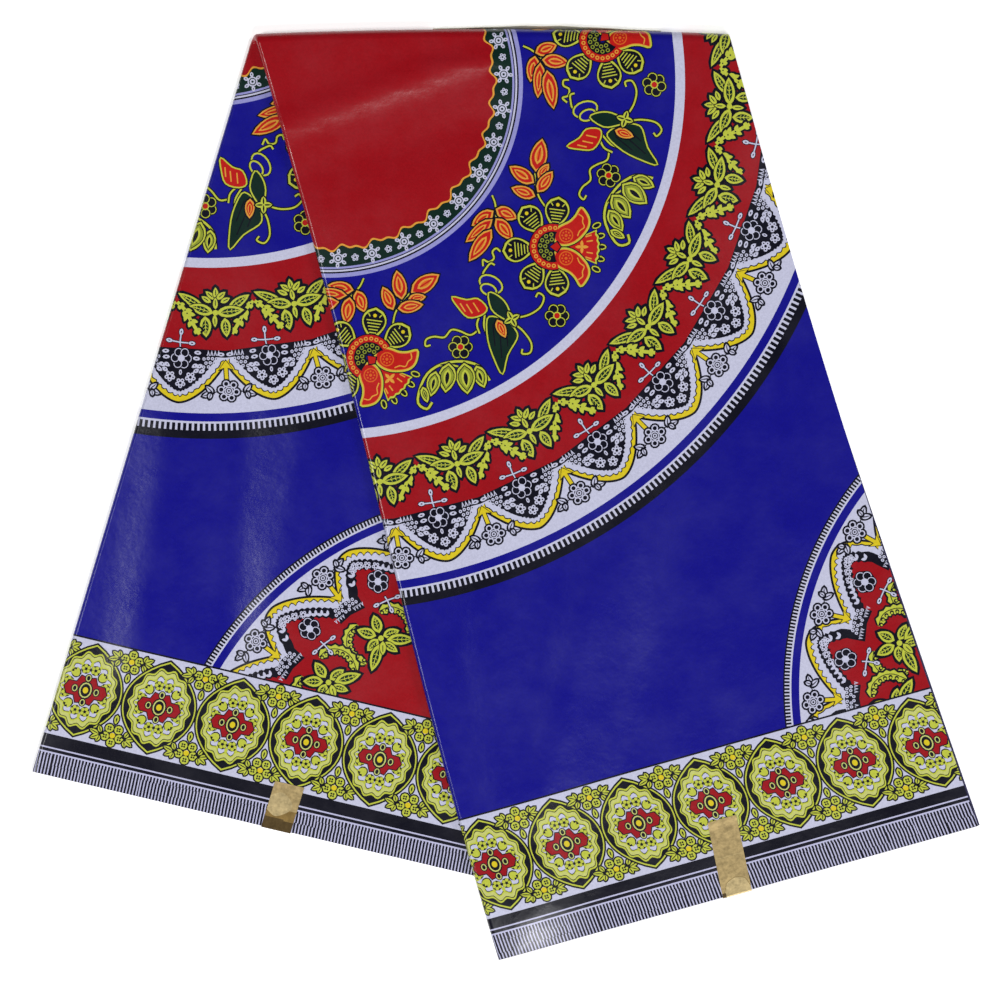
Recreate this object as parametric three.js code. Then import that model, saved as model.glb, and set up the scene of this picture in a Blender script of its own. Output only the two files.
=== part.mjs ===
// A six-yard length of wax print cotton, folded in half four times into a flat strip of
// sixteen plies, then turned over once at a slant so that two legs lie in an upside-down V.
// Millimetres, +Z up. The back leg lies on the table, the front leg lies across it.
import * as THREE from 'three';

// Overall reach, corner to corner
const OVERALL_WIDTH = 647;
const OVERALL_LENGTH = 639;

// The folded strip
const SELVEDGE_WIDTH = 340.5;
const FOLD_WIDTH = 324;
const FOLD_CENTRE_X = -9.9;
const STACK = 5.8;
const WALL = 1.1;
const SEAM = 0.3;
const TURN_SEAM = 0.35;

// The turn at the top: its inner radius, the sideways run of a slanted turn, and its arch
const TURN_INNER_RADIUS = 1;
const TURN_RUN = 5;
const TURN_ARCH = 3.4;

// How the selvedge ends lie
const FRONT_SELVEDGE_ANGLE = THREE.MathUtils.degToRad(15.64);
const BACK_SELVEDGE_ANGLE = THREE.MathUtils.degToRad(-13.26);
const BACK_SELVEDGE_RISE = 129;

// How the front leg comes down from the back leg to the table
const DROP_START = 6;
const DROP_RUN = 60;
const DROP_BELOW_TURN = 80;
const LEG_GAP = 0.45;
const GAP_CLOSES_IN = 60;

// Plies that show at the open edge, and how far their grooves and ragged ends go in
const EDGE_PLIES = 4;
const GROOVE_DEPTH = 0.8;
const PLY_SETBACKS = [0.3, 1.2, 0.5, 1.4];

// A pale ply that bulges out from under the turn: where it starts and ends across the strip
const PALE_PLY = { from: 0.38, to: 0.86, peak: 0.62, bulge: 1.9, wall: 1, low: 0.83, high: 0.6 };
const PALE_PLY_REACH = 2.4;
const PALE_PLY_STEPS = 16;
const PALE_PLY_ARC_STEPS = 3;

const STACK_RADIUS = STACK / 2;
const TURN_OUTER_RADIUS = TURN_INNER_RADIUS + STACK;
const TURN_Y = OVERALL_LENGTH / 2 - PALE_PLY_REACH - TURN_OUTER_RADIUS - TURN_ARCH;

// Steps of the meshes
const ACROSS_STEPS = 14;
const SIDE_TURN_STEPS = 5;
const PLY_LEVELS = 2 * EDGE_PLIES;
const FRONT_STEPS = 26;
const BACK_STEPS = 12;
const TURN_STEPS = 9;

// Soft folds of the cloth, as ridges (height above 0) and troughs (below 0), each along a line
const folds = [
  { leg: 'front', from: [-128, 262], to: [28, 288], halfWidth: 13, height: 1.6 },
  { leg: 'front', from: [-134, 222], to: [8, 256], halfWidth: 12, height: -0.9 },
  { leg: 'front', from: [-112, 186], to: [-18, 222], halfWidth: 16, height: 1.3 },
  { leg: 'front', from: [60, -30], to: [26, -190], halfWidth: 20, height: 1.7 },
  { leg: 'front', from: [104, -60], to: [66, -196], halfWidth: 15, height: -0.9 },
  { leg: 'front', from: [186, 96], to: [196, -24], halfWidth: 9, height: 0.9 },
  { leg: 'back', from: [-236, 40], to: [-268, -110], halfWidth: 16, height: 1.7 },
  { leg: 'back', from: [-196, 26], to: [-214, -116], halfWidth: 17, height: -1.0 },
  { leg: 'back', from: [-126, 30], to: [-150, -70], halfWidth: 20, height: 1.4 },
];
const FOLD_END_FADE = 0.28;
const FOLD_TURN_FADE = 30;
const COVERED_FADE = 22;

// Plain foil labels stuck over the selvedge ends
const LABEL_WIDTH = 20.5;
const LABEL_THICKNESS = 0.6;
const LABEL_FOOT = 0.7;
const labels = [
  { name: 'front_leg_label', leg: 'front', centre: 169.5, length: 52, slant: 0.1 },
  { name: 'back_leg_label', leg: 'back', centre: 171.5, length: 32, slant: 0.035 },
];

const halfWidth = OVERALL_WIDTH / 2;
const halfLength = OVERALL_LENGTH / 2;

// The corners of one leg in plan: its two ends on the turn and its two selvedge corners
function legCorners(leg) {
  const side = leg === 'front' ? 1 : -1;
  const foldShift = FOLD_CENTRE_X + side * TURN_RUN / 2;
  const angle = leg === 'front' ? FRONT_SELVEDGE_ANGLE : BACK_SELVEDGE_ANGLE;
  const across = new THREE.Vector2(Math.cos(angle), Math.sin(angle));
  const lowLeft = leg === 'front'
    ? new THREE.Vector2(halfWidth - SELVEDGE_WIDTH * across.x, -halfLength)
    : new THREE.Vector2(-halfWidth, -halfLength + BACK_SELVEDGE_RISE);
  return {
    foldLeft: new THREE.Vector2(foldShift - FOLD_WIDTH / 2, TURN_Y),
    foldRight: new THREE.Vector2(foldShift + FOLD_WIDTH / 2, TURN_Y),
    lowLeft,
    lowRight: lowLeft.clone().addScaledVector(across, SELVEDGE_WIDTH),
    across,
  };
}

const corners = { front: legCorners('front'), back: legCorners('back') };

// How far a leg's long edges stray from straight, to the right, along the leg (0 to 1)
const edgeBows = {
  front: {
    left: (v) => 2.4 * Math.sin(2 * Math.PI * Math.min(v, 1)),
    right: (v) => -5.4 * Math.sin(Math.PI * Math.min(v, 1)),
  },
  back: { left: () => 0, right: () => 0 },
};

// The rise of the turn's line across the strip
const turnArch = (u) => TURN_ARCH * Math.sin(Math.PI * THREE.MathUtils.clamp(u, 0, 1)) ** 0.8;

const smooth = (t) => THREE.MathUtils.smoothstep(t, 0, 1);
const smoother = (t) => THREE.MathUtils.smootherstep(t, 0, 1);

// A place in plan on a leg: u across from the left edge, v along from the turn, both 0 to 1
function planPoint(leg, u, v) {
  const c = corners[leg];
  const top = c.foldLeft.clone().lerp(c.foldRight, u);
  top.y += turnArch(u);
  const low = c.lowLeft.clone().lerp(c.lowRight, u);
  const bow = edgeBows[leg].left(v) * (1 - u) + edgeBows[leg].right(v) * u;
  return top.lerp(low, v).addScaledVector(c.across, bow);
}

// How far a point lies to the left hand of the way from start to end
function leftOf(point, start, end) {
  return end.clone().sub(start).normalize().cross(point.clone().sub(start));
}

// How high the front leg's underside lies above the table
function frontLift(plan) {
  const { foldRight, lowRight, lowLeft } = corners.back;
  const below = TURN_Y - plan.y;
  const gap = THREE.MathUtils.lerp(2 * TURN_INNER_RADIUS, LEG_GAP, smooth(below / GAP_CLOSES_IN));
  const pastSide = Math.max(leftOf(plan, foldRight, lowRight), 0);
  const pastSelvedge = Math.max(leftOf(plan, lowRight, lowLeft), 0);
  const past = Math.hypot(pastSide, pastSelvedge) - DROP_START;
  const drop = smoother(past / DROP_RUN) * smooth(below / DROP_BELOW_TURN);
  return (STACK + gap) * (1 - drop);
}

// The height of the soft folds at a place on a leg
function foldHeight(leg, plan) {
  let height = 0;
  for (const fold of folds) {
    if (fold.leg !== leg) continue;
    const start = new THREE.Vector2(...fold.from);
    const line = new THREE.Vector2(...fold.to).sub(start);
    const offset = plan.clone().sub(start);
    const along = offset.dot(line) / line.lengthSq();
    const across = offset.cross(line) / line.length();
    const ends = smooth((along + FOLD_END_FADE) / FOLD_END_FADE)
      * smooth((1 + FOLD_END_FADE - along) / FOLD_END_FADE);
    height += fold.height * ends * Math.exp(-((across / fold.halfWidth) ** 2));
  }
  height *= smooth((TURN_Y - plan.y) / FOLD_TURN_FADE);
  if (leg === 'front') return height;
  const uncovered = -leftOf(plan, corners.front.foldLeft, corners.front.lowLeft);
  return height * smooth((uncovered - DROP_START) / COVERED_FADE);
}

// A point of a leg: a mm across from the left edge, v along, h mm out from the strip's inner face.
// On the front leg h counts up, and on the back leg, which the turn has put upside down, h counts down.
function legPoint(leg, a, v, h) {
  const plan = planPoint(leg, a / SELVEDGE_WIDTH, v);
  const folded = foldHeight(leg, plan);
  const z = leg === 'front'
    ? frontLift(plan) + h + folded * h / STACK
    : (STACK - h) * (1 + folded / STACK);
  return new THREE.Vector3(plan.x, plan.y, z);
}

// A point of the turn: the angle runs from the front leg (0) round to the back leg (half a circle)
function turnPoint(a, angle, h) {
  const u = a / SELVEDGE_WIDTH;
  const front = planPoint('front', u, 0);
  const back = planPoint('back', u, 0);
  const radius = TURN_INNER_RADIUS + h;
  const x = THREE.MathUtils.lerp(front.x, back.x, angle / Math.PI);
  return new THREE.Vector3(
    x,
    front.y + radius * Math.sin(angle),
    STACK + TURN_INNER_RADIUS + radius * Math.cos(angle),
  );
}

// A closed surface round a block of points: point(i, j, k) gives each, and only the skin is kept
function gridSolid(iSteps, jSteps, kSteps, point) {
  const index = new Map();
  const positions = [];
  const faces = [];
  const vertex = (i, j, k) => {
    const key = (i * (jSteps + 1) + j) * (kSteps + 1) + k;
    if (!index.has(key)) {
      index.set(key, positions.length / 3);
      positions.push(...point(i, j, k).toArray());
    }
    return index.get(key);
  };
  const quad = (...ring) => {
    // Layers that lie on each other are split along the same diagonal, from the corner lowest in plan
    const heights = ring.map((corner) => positions[3 * corner + 1]);
    const [a, b, c, d] = heights.indexOf(Math.min(...heights)) % 2 ? [...ring.slice(1), ring[0]] : ring;
    faces.push(a, b, c, a, c, d);
  };
  for (let i = 0; i < iSteps; i++) {
    for (let j = 0; j < jSteps; j++) {
      quad(vertex(i, j, 0), vertex(i, j + 1, 0), vertex(i + 1, j + 1, 0), vertex(i + 1, j, 0));
      quad(vertex(i, j, kSteps), vertex(i + 1, j, kSteps),
        vertex(i + 1, j + 1, kSteps), vertex(i, j + 1, kSteps));
    }
  }
  for (let k = 0; k < kSteps; k++) {
    for (let j = 0; j < jSteps; j++) {
      quad(vertex(0, j, k), vertex(0, j, k + 1), vertex(0, j + 1, k + 1), vertex(0, j + 1, k));
      quad(vertex(iSteps, j, k), vertex(iSteps, j + 1, k),
        vertex(iSteps, j + 1, k + 1), vertex(iSteps, j, k + 1));
    }
    for (let i = 0; i < iSteps; i++) {
      quad(vertex(i, 0, k), vertex(i + 1, 0, k), vertex(i + 1, 0, k + 1), vertex(i, 0, k + 1));
      quad(vertex(i, jSteps, k), vertex(i, jSteps, k + 1),
        vertex(i + 1, jSteps, k + 1), vertex(i + 1, jSteps, k));
    }
  }
  const geometry = new THREE.BufferGeometry();
  geometry.setAttribute('position', new THREE.Float32BufferAttribute(positions, 3));
  geometry.setIndex(signedVolume(positions, faces) < 0 ? faces.reverse() : faces);
  geometry.computeVertexNormals();
  return geometry;
}

// Six times the volume that the faces close in, below 0 where they face inwards
function signedVolume(positions, faces) {
  const corner = (n) => new THREE.Vector3().fromArray(positions, 3 * n);
  let total = 0;
  for (let f = 0; f < faces.length; f += 3) {
    total += corner(faces[f]).dot(corner(faces[f + 1]).cross(corner(faces[f + 2])));
  }
  return total;
}

// The outer ply's section: over the outer face from the open edge, round the folded left edge,
// and back over the inner face. Each row has the ply's outside and inside as [a, h].
function outerPlySection() {
  const rows = [];
  for (let n = 0; n < ACROSS_STEPS; n++) {
    const a = THREE.MathUtils.lerp(SELVEDGE_WIDTH, STACK_RADIUS, n / ACROSS_STEPS);
    rows.push({ outside: [a, STACK], inside: [a, STACK - WALL] });
  }
  for (let n = 0; n <= SIDE_TURN_STEPS; n++) {
    const angle = Math.PI * n / SIDE_TURN_STEPS;
    const on = (radius) => [
      STACK_RADIUS - radius * Math.sin(angle),
      STACK_RADIUS + radius * Math.cos(angle),
    ];
    rows.push({ outside: on(STACK_RADIUS), inside: on(STACK_RADIUS - WALL) });
  }
  for (let n = 1; n <= ACROSS_STEPS; n++) {
    const a = THREE.MathUtils.lerp(STACK_RADIUS, SELVEDGE_WIDTH, n / ACROSS_STEPS);
    rows.push({ outside: [a, 0], inside: [a, WALL] });
  }
  return rows;
}

// A stretch of the strip: place(a, t, h) with t from 0 to 1 along it
function outerPly(steps, place) {
  const rows = outerPlySection();
  return gridSolid(rows.length - 1, steps, 1, (i, j, k) => {
    const [a, h] = k ? rows[i].outside : rows[i].inside;
    return place(a, j / steps, h);
  });
}

// The hidden plies as one body, round at the folded edge and layered at the open edge
function innerPlies(steps, place, openEndSetback) {
  const low = WALL + SEAM;
  const high = STACK - WALL - SEAM;
  const radius = (high - low) / 2;
  return gridSolid(ACROSS_STEPS, steps, PLY_LEVELS, (i, j, k) => {
    const h = THREE.MathUtils.lerp(low, high, k / PLY_LEVELS);
    const ply = Math.min(Math.floor(k / 2), EDGE_PLIES - 1);
    const setback = PLY_SETBACKS[ply] + (k % 2 ? 0 : GROOVE_DEPTH);
    const round = STACK_RADIUS - Math.sqrt(Math.max(radius ** 2 - (h - STACK_RADIUS) ** 2, 0));
    const a = THREE.MathUtils.lerp(round, SELVEDGE_WIDTH - setback, i / ACROSS_STEPS);
    const atEnd = j === steps ? openEndSetback * setback : 0;
    return place(a, j / steps - atEnd, h);
  });
}

// The length of one thread of a leg, from the turn to the selvedge
const threadLength = (leg, u) => planPoint(leg, u, 0).distanceTo(planPoint(leg, u, 1));

// From just past the turn, where a seam parts the stretches, to the selvedge
const alongLeg = (leg) => (a, t, h) => {
  const start = TURN_SEAM / threadLength(leg, a / SELVEDGE_WIDTH);
  return legPoint(leg, a, THREE.MathUtils.lerp(start, 1, t), h);
};
const alongTurn = (a, t, h) => turnPoint(a, Math.PI * t, h);

// The setback of a ply's end as a share of a leg's length
const SETBACK_ALONG = 1 / threadLength('back', 0.5);

// The pale ply, a crescent round the lower half of the turn
function palePlyGeometry() {
  const { from, to, peak, bulge, wall, low, high } = PALE_PLY;
  return gridSolid(PALE_PLY_STEPS, PALE_PLY_ARC_STEPS, 1, (i, j, k) => {
    const u = THREE.MathUtils.lerp(from, to, i / PALE_PLY_STEPS);
    const near = u < peak ? (u - from) / (peak - from) : (to - u) / (to - peak);
    const angle = Math.PI * THREE.MathUtils.lerp(high, low, j / PALE_PLY_ARC_STEPS);
    const h = STACK + SEAM + bulge * smooth(near) * Math.sin(angle) + k * wall;
    return turnPoint(u * SELVEDGE_WIDTH, angle, h);
  });
}

// A foil label: along the visible face to the selvedge, then down over the cut ends
function labelGeometry({ leg, centre, length, slant }) {
  const faceSteps = 6;
  const widthSteps = 3;
  const outward = leg === 'front' ? 1 : -1;
  const faceHeight = leg === 'front' ? STACK : 0;
  const footHeight = leg === 'front' ? LABEL_FOOT : STACK - LABEL_FOOT;
  const path = [];
  for (let n = 0; n <= faceSteps; n++) {
    path.push({ inset: length * (1 - n / faceSteps), h: faceHeight, over: outward, past: 0 });
  }
  path[faceSteps].past = 1;
  path.push({ inset: 0, h: footHeight, over: 0, past: 1 });
  return gridSolid(path.length - 1, widthSteps, 1, (i, j, k) => {
    const { inset, h, over, past } = path[i];
    const off = SEAM + k * LABEL_THICKNESS;
    const a = centre + LABEL_WIDTH * (j / widthSteps - 0.5) + slant * inset;
    const v = 1 - (inset - past * off) / threadLength(leg, a / SELVEDGE_WIDTH);
    return legPoint(leg, a, v, h + over * off);
  });
}

function clothMaterial(color, roughness = 0.5) {
  return new THREE.MeshStandardMaterial({ color, roughness, metalness: 0 });
}

const printedCloth = clothMaterial('#2a1c9c', 0.42);
const layeredCloth = clothMaterial('#c9c6e0', 0.6);
const paleCloth = clothMaterial('#dcd9c8', 0.7);
const foil = new THREE.MeshStandardMaterial({ color: '#b09860', roughness: 0.4, metalness: 0.5 });

const cloth = new THREE.Group();

function add(name, geometry, material) {
  const mesh = new THREE.Mesh(geometry, material);
  mesh.name = name;
  cloth.add(mesh);
}

add('front_leg_outer_ply', outerPly(FRONT_STEPS, alongLeg('front')), printedCloth);
add('front_leg_inner_plies', innerPlies(FRONT_STEPS, alongLeg('front'), SETBACK_ALONG), layeredCloth);
add('top_fold_outer_ply', outerPly(TURN_STEPS, alongTurn), printedCloth);
add('top_fold_inner_plies', innerPlies(TURN_STEPS, alongTurn, 0), layeredCloth);
add('top_fold_pale_ply', palePlyGeometry(), paleCloth);
add('back_leg_outer_ply', outerPly(BACK_STEPS, alongLeg('back')), printedCloth);
add('back_leg_inner_plies', innerPlies(BACK_STEPS, alongLeg('back'), SETBACK_ALONG), layeredCloth);
for (const label of labels) {
  add(label.name, labelGeometry(label), foil);
}

export default cloth;
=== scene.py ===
import math
import bpy
import numpy as np
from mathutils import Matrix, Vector
from mathutils.bvhtree import BVHTree
from mathutils.geometry import delaunay_2d_cdt


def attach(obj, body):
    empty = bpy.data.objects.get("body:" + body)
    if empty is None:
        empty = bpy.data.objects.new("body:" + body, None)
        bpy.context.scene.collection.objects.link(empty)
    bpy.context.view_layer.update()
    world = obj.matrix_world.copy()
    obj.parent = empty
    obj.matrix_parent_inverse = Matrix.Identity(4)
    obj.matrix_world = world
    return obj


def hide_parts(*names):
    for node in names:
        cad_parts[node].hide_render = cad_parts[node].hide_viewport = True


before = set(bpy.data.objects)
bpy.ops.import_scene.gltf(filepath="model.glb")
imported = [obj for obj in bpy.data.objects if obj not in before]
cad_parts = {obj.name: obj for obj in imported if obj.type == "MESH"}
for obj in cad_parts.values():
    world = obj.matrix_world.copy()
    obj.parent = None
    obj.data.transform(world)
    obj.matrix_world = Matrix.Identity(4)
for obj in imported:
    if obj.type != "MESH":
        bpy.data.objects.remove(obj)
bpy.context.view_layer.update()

# Sizes of the folded cloth in millimetres, the same as in the solid model
MM = 0.001
OVERALL_WIDTH = 647.0
OVERALL_LENGTH = 639.0
SELVEDGE_WIDTH = 340.5
FOLD_WIDTH = 324.0
FOLD_CENTRE_X = -9.9
STACK = 5.8
TURN_INNER_RADIUS = 1.0
TURN_RUN = 5.0
TURN_ARCH = 3.4
FRONT_SELVEDGE_ANGLE = math.radians(15.64)
BACK_SELVEDGE_ANGLE = math.radians(-13.26)
BACK_SELVEDGE_RISE = 129.0
DROP_START = 6.0
DROP_RUN = 60.0
DROP_BELOW_TURN = 80.0
LEG_GAP = 0.45
GAP_CLOSES_IN = 60.0
PALE_PLY_REACH = 2.4
PALE_PLY = {"from": 0.38, "to": 0.86, "peak": 0.62, "bulge": 1.9}
STACK_RADIUS = STACK / 2
TURN_OUTER_RADIUS = TURN_INNER_RADIUS + STACK
TURN_Y = OVERALL_LENGTH / 2 - PALE_PLY_REACH - TURN_OUTER_RADIUS - TURN_ARCH
TURN_LENGTH = math.pi * TURN_OUTER_RADIUS
UNDER_EDGE = STACK_RADIUS - math.pi * STACK_RADIUS
UNDER_WIDTH = SELVEDGE_WIDTH - STACK_RADIUS

# How far the front leg's two long edges bow out, and the shape of the turn's arch
LEFT_BOW = 2.4
RIGHT_BOW = 5.4
ARCH_POWER = 0.8

# Thickness of one visible ply, and the finer layers that show at the open edges
PLY = 0.5
PLY_CLEARANCE = 0.12
PALE_THICKNESS = 0.5
PALE_OFF = 0.25
EDGE_LAYERS = 13
EDGE_NOTCH = 0.7
PROUD_EDGE = 1.5

# Foil labels: where along the selvedge, how long and how slanted
LABELS = {"front": (169.5, 52.0, 0.1), "back": (171.5, 32.0, 0.035)}
LABEL_WIDTH = 20.5
LABEL_OVERHANG = 4.4
LABEL_FOIL = 0.14
LABEL_OFF = 0.22
LABEL_CURL = 0.5
LABEL_CURL_LENGTH = 7.0

# Mesh steps: face size, columns under the leg and round its edge, rows along the leg and the turn,
# the same for the hidden plies, degrees along a ring and millimetres along a strip of print
FACE_STEP = 8.0
UNDER_COLUMNS = 36
WRAP_COLUMNS = 12
LEG_ROWS = 83
TURN_ROWS = 14
PLY_COLUMNS = 46
PLY_ROWS = 90
DISC_STEP = 1.6
STRIP_STEP = 12.0
CUT_EPSILON = 1e-4

# Soft folds: leg, start, end, half width and height, below 0 for a trough
FOLDS = [
    ("front", (-151, 251), (-8, 302), 11, 3.0),
    ("front", (-140, 218), (10, 262), 12, -1.2),
    ("front", (-112, 186), (-18, 222), 15, 1.0),
    ("front", (-18, -56), (0, -204), 15, 1.8),
    ("front", (58, -73), (24, -204), 17, 2.2),
    ("front", (92, -5), (120, -169), 17, 1.7),
    ("front", (186, 96), (196, -24), 9, 1.0),
    ("back", (-228, 44), (-252, -114), 20, 2.8),
    ("back", (-181, 44), (-191, -114), 17, -2.2),
    ("back", (-136, 40), (-156, -80), 15, 1.4),
]
FOLD_END_FADE = 0.28
FOLD_TURN_FADE = 16.0
COVERED_FADE = 22.0

# Shapes over the first size are always drawn; smaller ones past the cloth, or so far under the
# front leg, aren't
LARGE_SHAPE = 70.0
COVERED_MARGIN = 20.0
EDGE_MARGIN = 4.0
CLOTH_REACH = 700.0

# The photograph's middle lies a little off the part's origin
PHOTO_CENTRE = (-0.0034, -0.0048)
PHOTO_SPAN = 0.685
CAMERA_HEIGHT = 3.2

# Print colours as they look on the cloth
COLOURS = {
    "blue": "#09067e", "red": "#900512", "white": "#b9bad1", "ink": "#030314", "yellow": "#cdb81c",
    "lime": "#b2b93e", "olive": "#858f2c", "green": "#04221a", "orange": "#c95c1c", "scarlet": "#b01512",
    "pale": "#b9bd6c", "comb": "#b4b4d2", "hatch": "#8c8cc4", "amber": "#cf9236",
}
FOIL_TONES = {
    "foil": "#ab9566", "foil_light": "#b9a577", "foil_pale": "#b7a272", "foil_line": "#7d683c",
    "foil_low": "#866c38", "foil_dark": "#52401d",
}
LAYER_TONES = ["#c9c6dc", "#9c98bd", "#3a2f96", "#d6d4e2", "#b7b2cf", "#15103f", "#cfcbe0"]
# Painted shade: the dark tone of the notched grooves between the plies' edges
GROOVE_SHADE_TONE = "#1a1640"
INSIDE_TONE = "#8d88b5"
RIM_TONE = "#b9b4d6"
PALE_TONE = "#d9d5c2"


def linear(code):
    """A colour code as linear light."""
    parts = [int(code[n:n + 2], 16) / 255 for n in (1, 3, 5)]
    return tuple(((c + 0.055) / 1.055) ** 2.4 if c > 0.04045 else c / 12.92 for c in parts)


# The form of the legs and of the turn, for whole arrays of points at once
def smooth(t):
    t = np.clip(t, 0, 1)
    return t * t * (3 - 2 * t)


def smoother(t):
    t = np.clip(t, 0, 1)
    return t ** 3 * (t * (6 * t - 15) + 10)


def leg_corners(leg):
    side = 1 if leg == "front" else -1
    middle = FOLD_CENTRE_X + side * TURN_RUN / 2
    angle = FRONT_SELVEDGE_ANGLE if leg == "front" else BACK_SELVEDGE_ANGLE
    across = np.array([math.cos(angle), math.sin(angle)])
    if leg == "front":
        low_left = np.array([OVERALL_WIDTH / 2 - SELVEDGE_WIDTH * across[0], -OVERALL_LENGTH / 2])
    else:
        low_left = np.array([-OVERALL_WIDTH / 2, -OVERALL_LENGTH / 2 + BACK_SELVEDGE_RISE])
    return {
        "fold_left": np.array([middle - FOLD_WIDTH / 2, TURN_Y]),
        "fold_right": np.array([middle + FOLD_WIDTH / 2, TURN_Y]),
        "low_left": low_left,
        "low_right": low_left + SELVEDGE_WIDTH * across,
        "across": across,
    }


CORNERS = {leg: leg_corners(leg) for leg in ("front", "back")}


def plan_point(leg, u, v):
    """Places in plan: u across the strip and v along it from the turn."""
    c = CORNERS[leg]
    u = np.asarray(u, float)[..., None]
    v = np.asarray(v, float)[..., None]
    arch = TURN_ARCH * np.sin(math.pi * np.clip(u, 0, 1)) ** ARCH_POWER
    top = c["fold_left"] + (c["fold_right"] - c["fold_left"]) * u + arch * np.array([0.0, 1.0])
    low = c["low_left"] + (c["low_right"] - c["low_left"]) * u
    point = top + (low - top) * v
    if leg == "front":
        along = np.clip(v, 0, 1)
        bow = LEFT_BOW * np.sin(2 * math.pi * along) * (1 - u) - RIGHT_BOW * np.sin(math.pi * along) * u
        point = point + c["across"] * bow
    return point


def thread_length(leg, u):
    """How long a thread is from the turn to the selvedge."""
    u = np.asarray(u, float)
    ends = plan_point(leg, u, np.zeros_like(u)) - plan_point(leg, u, np.ones_like(u))
    return np.hypot(ends[..., 0], ends[..., 1])


def left_of(point, start, end):
    """How far points lie to the left hand of the way from start to end."""
    way = (end - start) / np.hypot(*(end - start))
    return way[0] * (point[..., 1] - start[1]) - way[1] * (point[..., 0] - start[0])


def front_lift(plan):
    c = CORNERS["back"]
    below = TURN_Y - plan[..., 1]
    gap = 2 * TURN_INNER_RADIUS + (LEG_GAP - 2 * TURN_INNER_RADIUS) * smooth(below / GAP_CLOSES_IN)
    past_side = np.maximum(left_of(plan, c["fold_right"], c["low_right"]), 0)
    past_selvedge = np.maximum(left_of(plan, c["low_right"], c["low_left"]), 0)
    past = np.hypot(past_side, past_selvedge) - DROP_START
    drop = smoother(past / DROP_RUN) * smooth(below / DROP_BELOW_TURN)
    return (STACK + gap) * (1 - drop)


def fold_height(leg, plan):
    height = np.zeros(plan.shape[:-1])
    for on_leg, start, end, half_width, rise in FOLDS:
        if on_leg != leg:
            continue
        line = np.array(end, float) - start
        offset = plan - np.array(start, float)
        along = offset @ line / (line @ line)
        across = (offset[..., 0] * line[1] - offset[..., 1] * line[0]) / np.hypot(*line)
        ends = smooth((along + FOLD_END_FADE) / FOLD_END_FADE)
        ends = ends * smooth((1 + FOLD_END_FADE - along) / FOLD_END_FADE)
        height = height + rise * ends * np.exp(-(across / half_width) ** 2)
    height = height * smooth((TURN_Y - plan[..., 1]) / FOLD_TURN_FADE)
    if leg == "front":
        return height
    c = CORNERS["front"]
    uncovered = -left_of(plan, c["fold_left"], c["low_left"])
    return height * smooth((uncovered - DROP_START) / COVERED_FADE)


def leg_point(leg, a, v, depth):
    """Points of a leg, depth millimetres under its upper face."""
    plan = plan_point(leg, np.asarray(a) / SELVEDGE_WIDTH, v)
    share = (STACK - depth) / STACK
    base = front_lift(plan) if leg == "front" else 0.0
    z = base + (STACK + fold_height(leg, plan)) * share
    return np.concatenate([plan, np.asarray(z)[..., None]], -1)


def turn_point(a, angle, depth):
    """Points of the turn: the angle runs from the front leg round to the back leg."""
    u = np.asarray(a) / SELVEDGE_WIDTH
    front = plan_point("front", u, np.zeros_like(u))
    back = plan_point("back", u, np.zeros_like(u))
    radius = TURN_OUTER_RADIUS - depth
    x = front[..., 0] + (back[..., 0] - front[..., 0]) * angle / math.pi
    y = front[..., 1] + radius * np.sin(angle)
    z = STACK + TURN_INNER_RADIUS + radius * np.cos(angle)
    return np.stack([x, y, z], -1)


def round_the_edge(p, inward=0.0):
    """Across the sheet: over the visible face, round the folded edge and back under it."""
    p = np.asarray(p, float)
    angle = np.clip((STACK_RADIUS - p) / STACK_RADIUS, 0, math.pi)
    under = np.maximum(UNDER_EDGE - p, 0)
    radius = STACK_RADIUS - inward
    a = np.where(p > STACK_RADIUS, p, STACK_RADIUS - radius * np.sin(angle) + under)
    depth = STACK_RADIUS - radius * np.cos(angle)
    return a, depth


def cloth_from_plan(leg, plan):
    """The place on the cloth (across, along from the selvedge) of points in plan."""
    plan = np.asarray(plan, float)
    u = np.full(len(plan), 0.5)
    v = np.full(len(plan), 0.5)
    step = 1e-4
    for _ in range(12):
        here = plan_point(leg, u, v)
        du = (plan_point(leg, u + step, v) - here) / step
        dv = (plan_point(leg, u, v + step) - here) / step
        miss = plan - here
        det = du[:, 0] * dv[:, 1] - du[:, 1] * dv[:, 0]
        u = np.clip(u + (miss[:, 0] * dv[:, 1] - miss[:, 1] * dv[:, 0]) / det, -3, 4)
        v = np.clip(v + (du[:, 0] * miss[:, 1] - du[:, 1] * miss[:, 0]) / det, -3, 4)
    return np.stack([u * SELVEDGE_WIDTH, (1 - v) * thread_length(leg, u)], -1)


# Drawing the print as flat shapes, later ones over earlier ones
class Print:
    def __init__(self, leg):
        self.leg = leg
        self.shapes = []

    def add(self, colour, points, on_cloth):
        self.shapes.append((colour, np.asarray(points, float), on_cloth))

    def placed(self):
        """Every shape that can be seen, in cloth millimetres."""
        drawn = [points for _, points, on_cloth in self.shapes if not on_cloth]
        moved = cloth_from_plan(self.leg, np.concatenate(drawn))
        result = []
        start = 0
        for colour, points, on_cloth in self.shapes:
            if not on_cloth:
                points = moved[start:start + len(points)]
                start += len(points)
            if self.shows(points):
                result.append((colour, points))
        return result

    def shows(self, points):
        low, high = points.min(0), points.max(0)
        large = np.ptp(points[:, 0]) > LARGE_SHAPE
        past_sides = high[0] < UNDER_EDGE - EDGE_MARGIN or low[0] > SELVEDGE_WIDTH
        if large or past_sides or high[1] < 0 or low[1] > CLOTH_REACH:
            return large
        if self.leg == "front":
            return True
        middle = points.mean(0)
        u = middle[:1] / SELVEDGE_WIDTH
        plan = plan_point("back", u, 1 - middle[1:] / thread_length("back", u))
        c = CORNERS["front"]
        return left_of(plan, c["fold_left"], c["low_left"])[0] < COVERED_MARGIN


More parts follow.
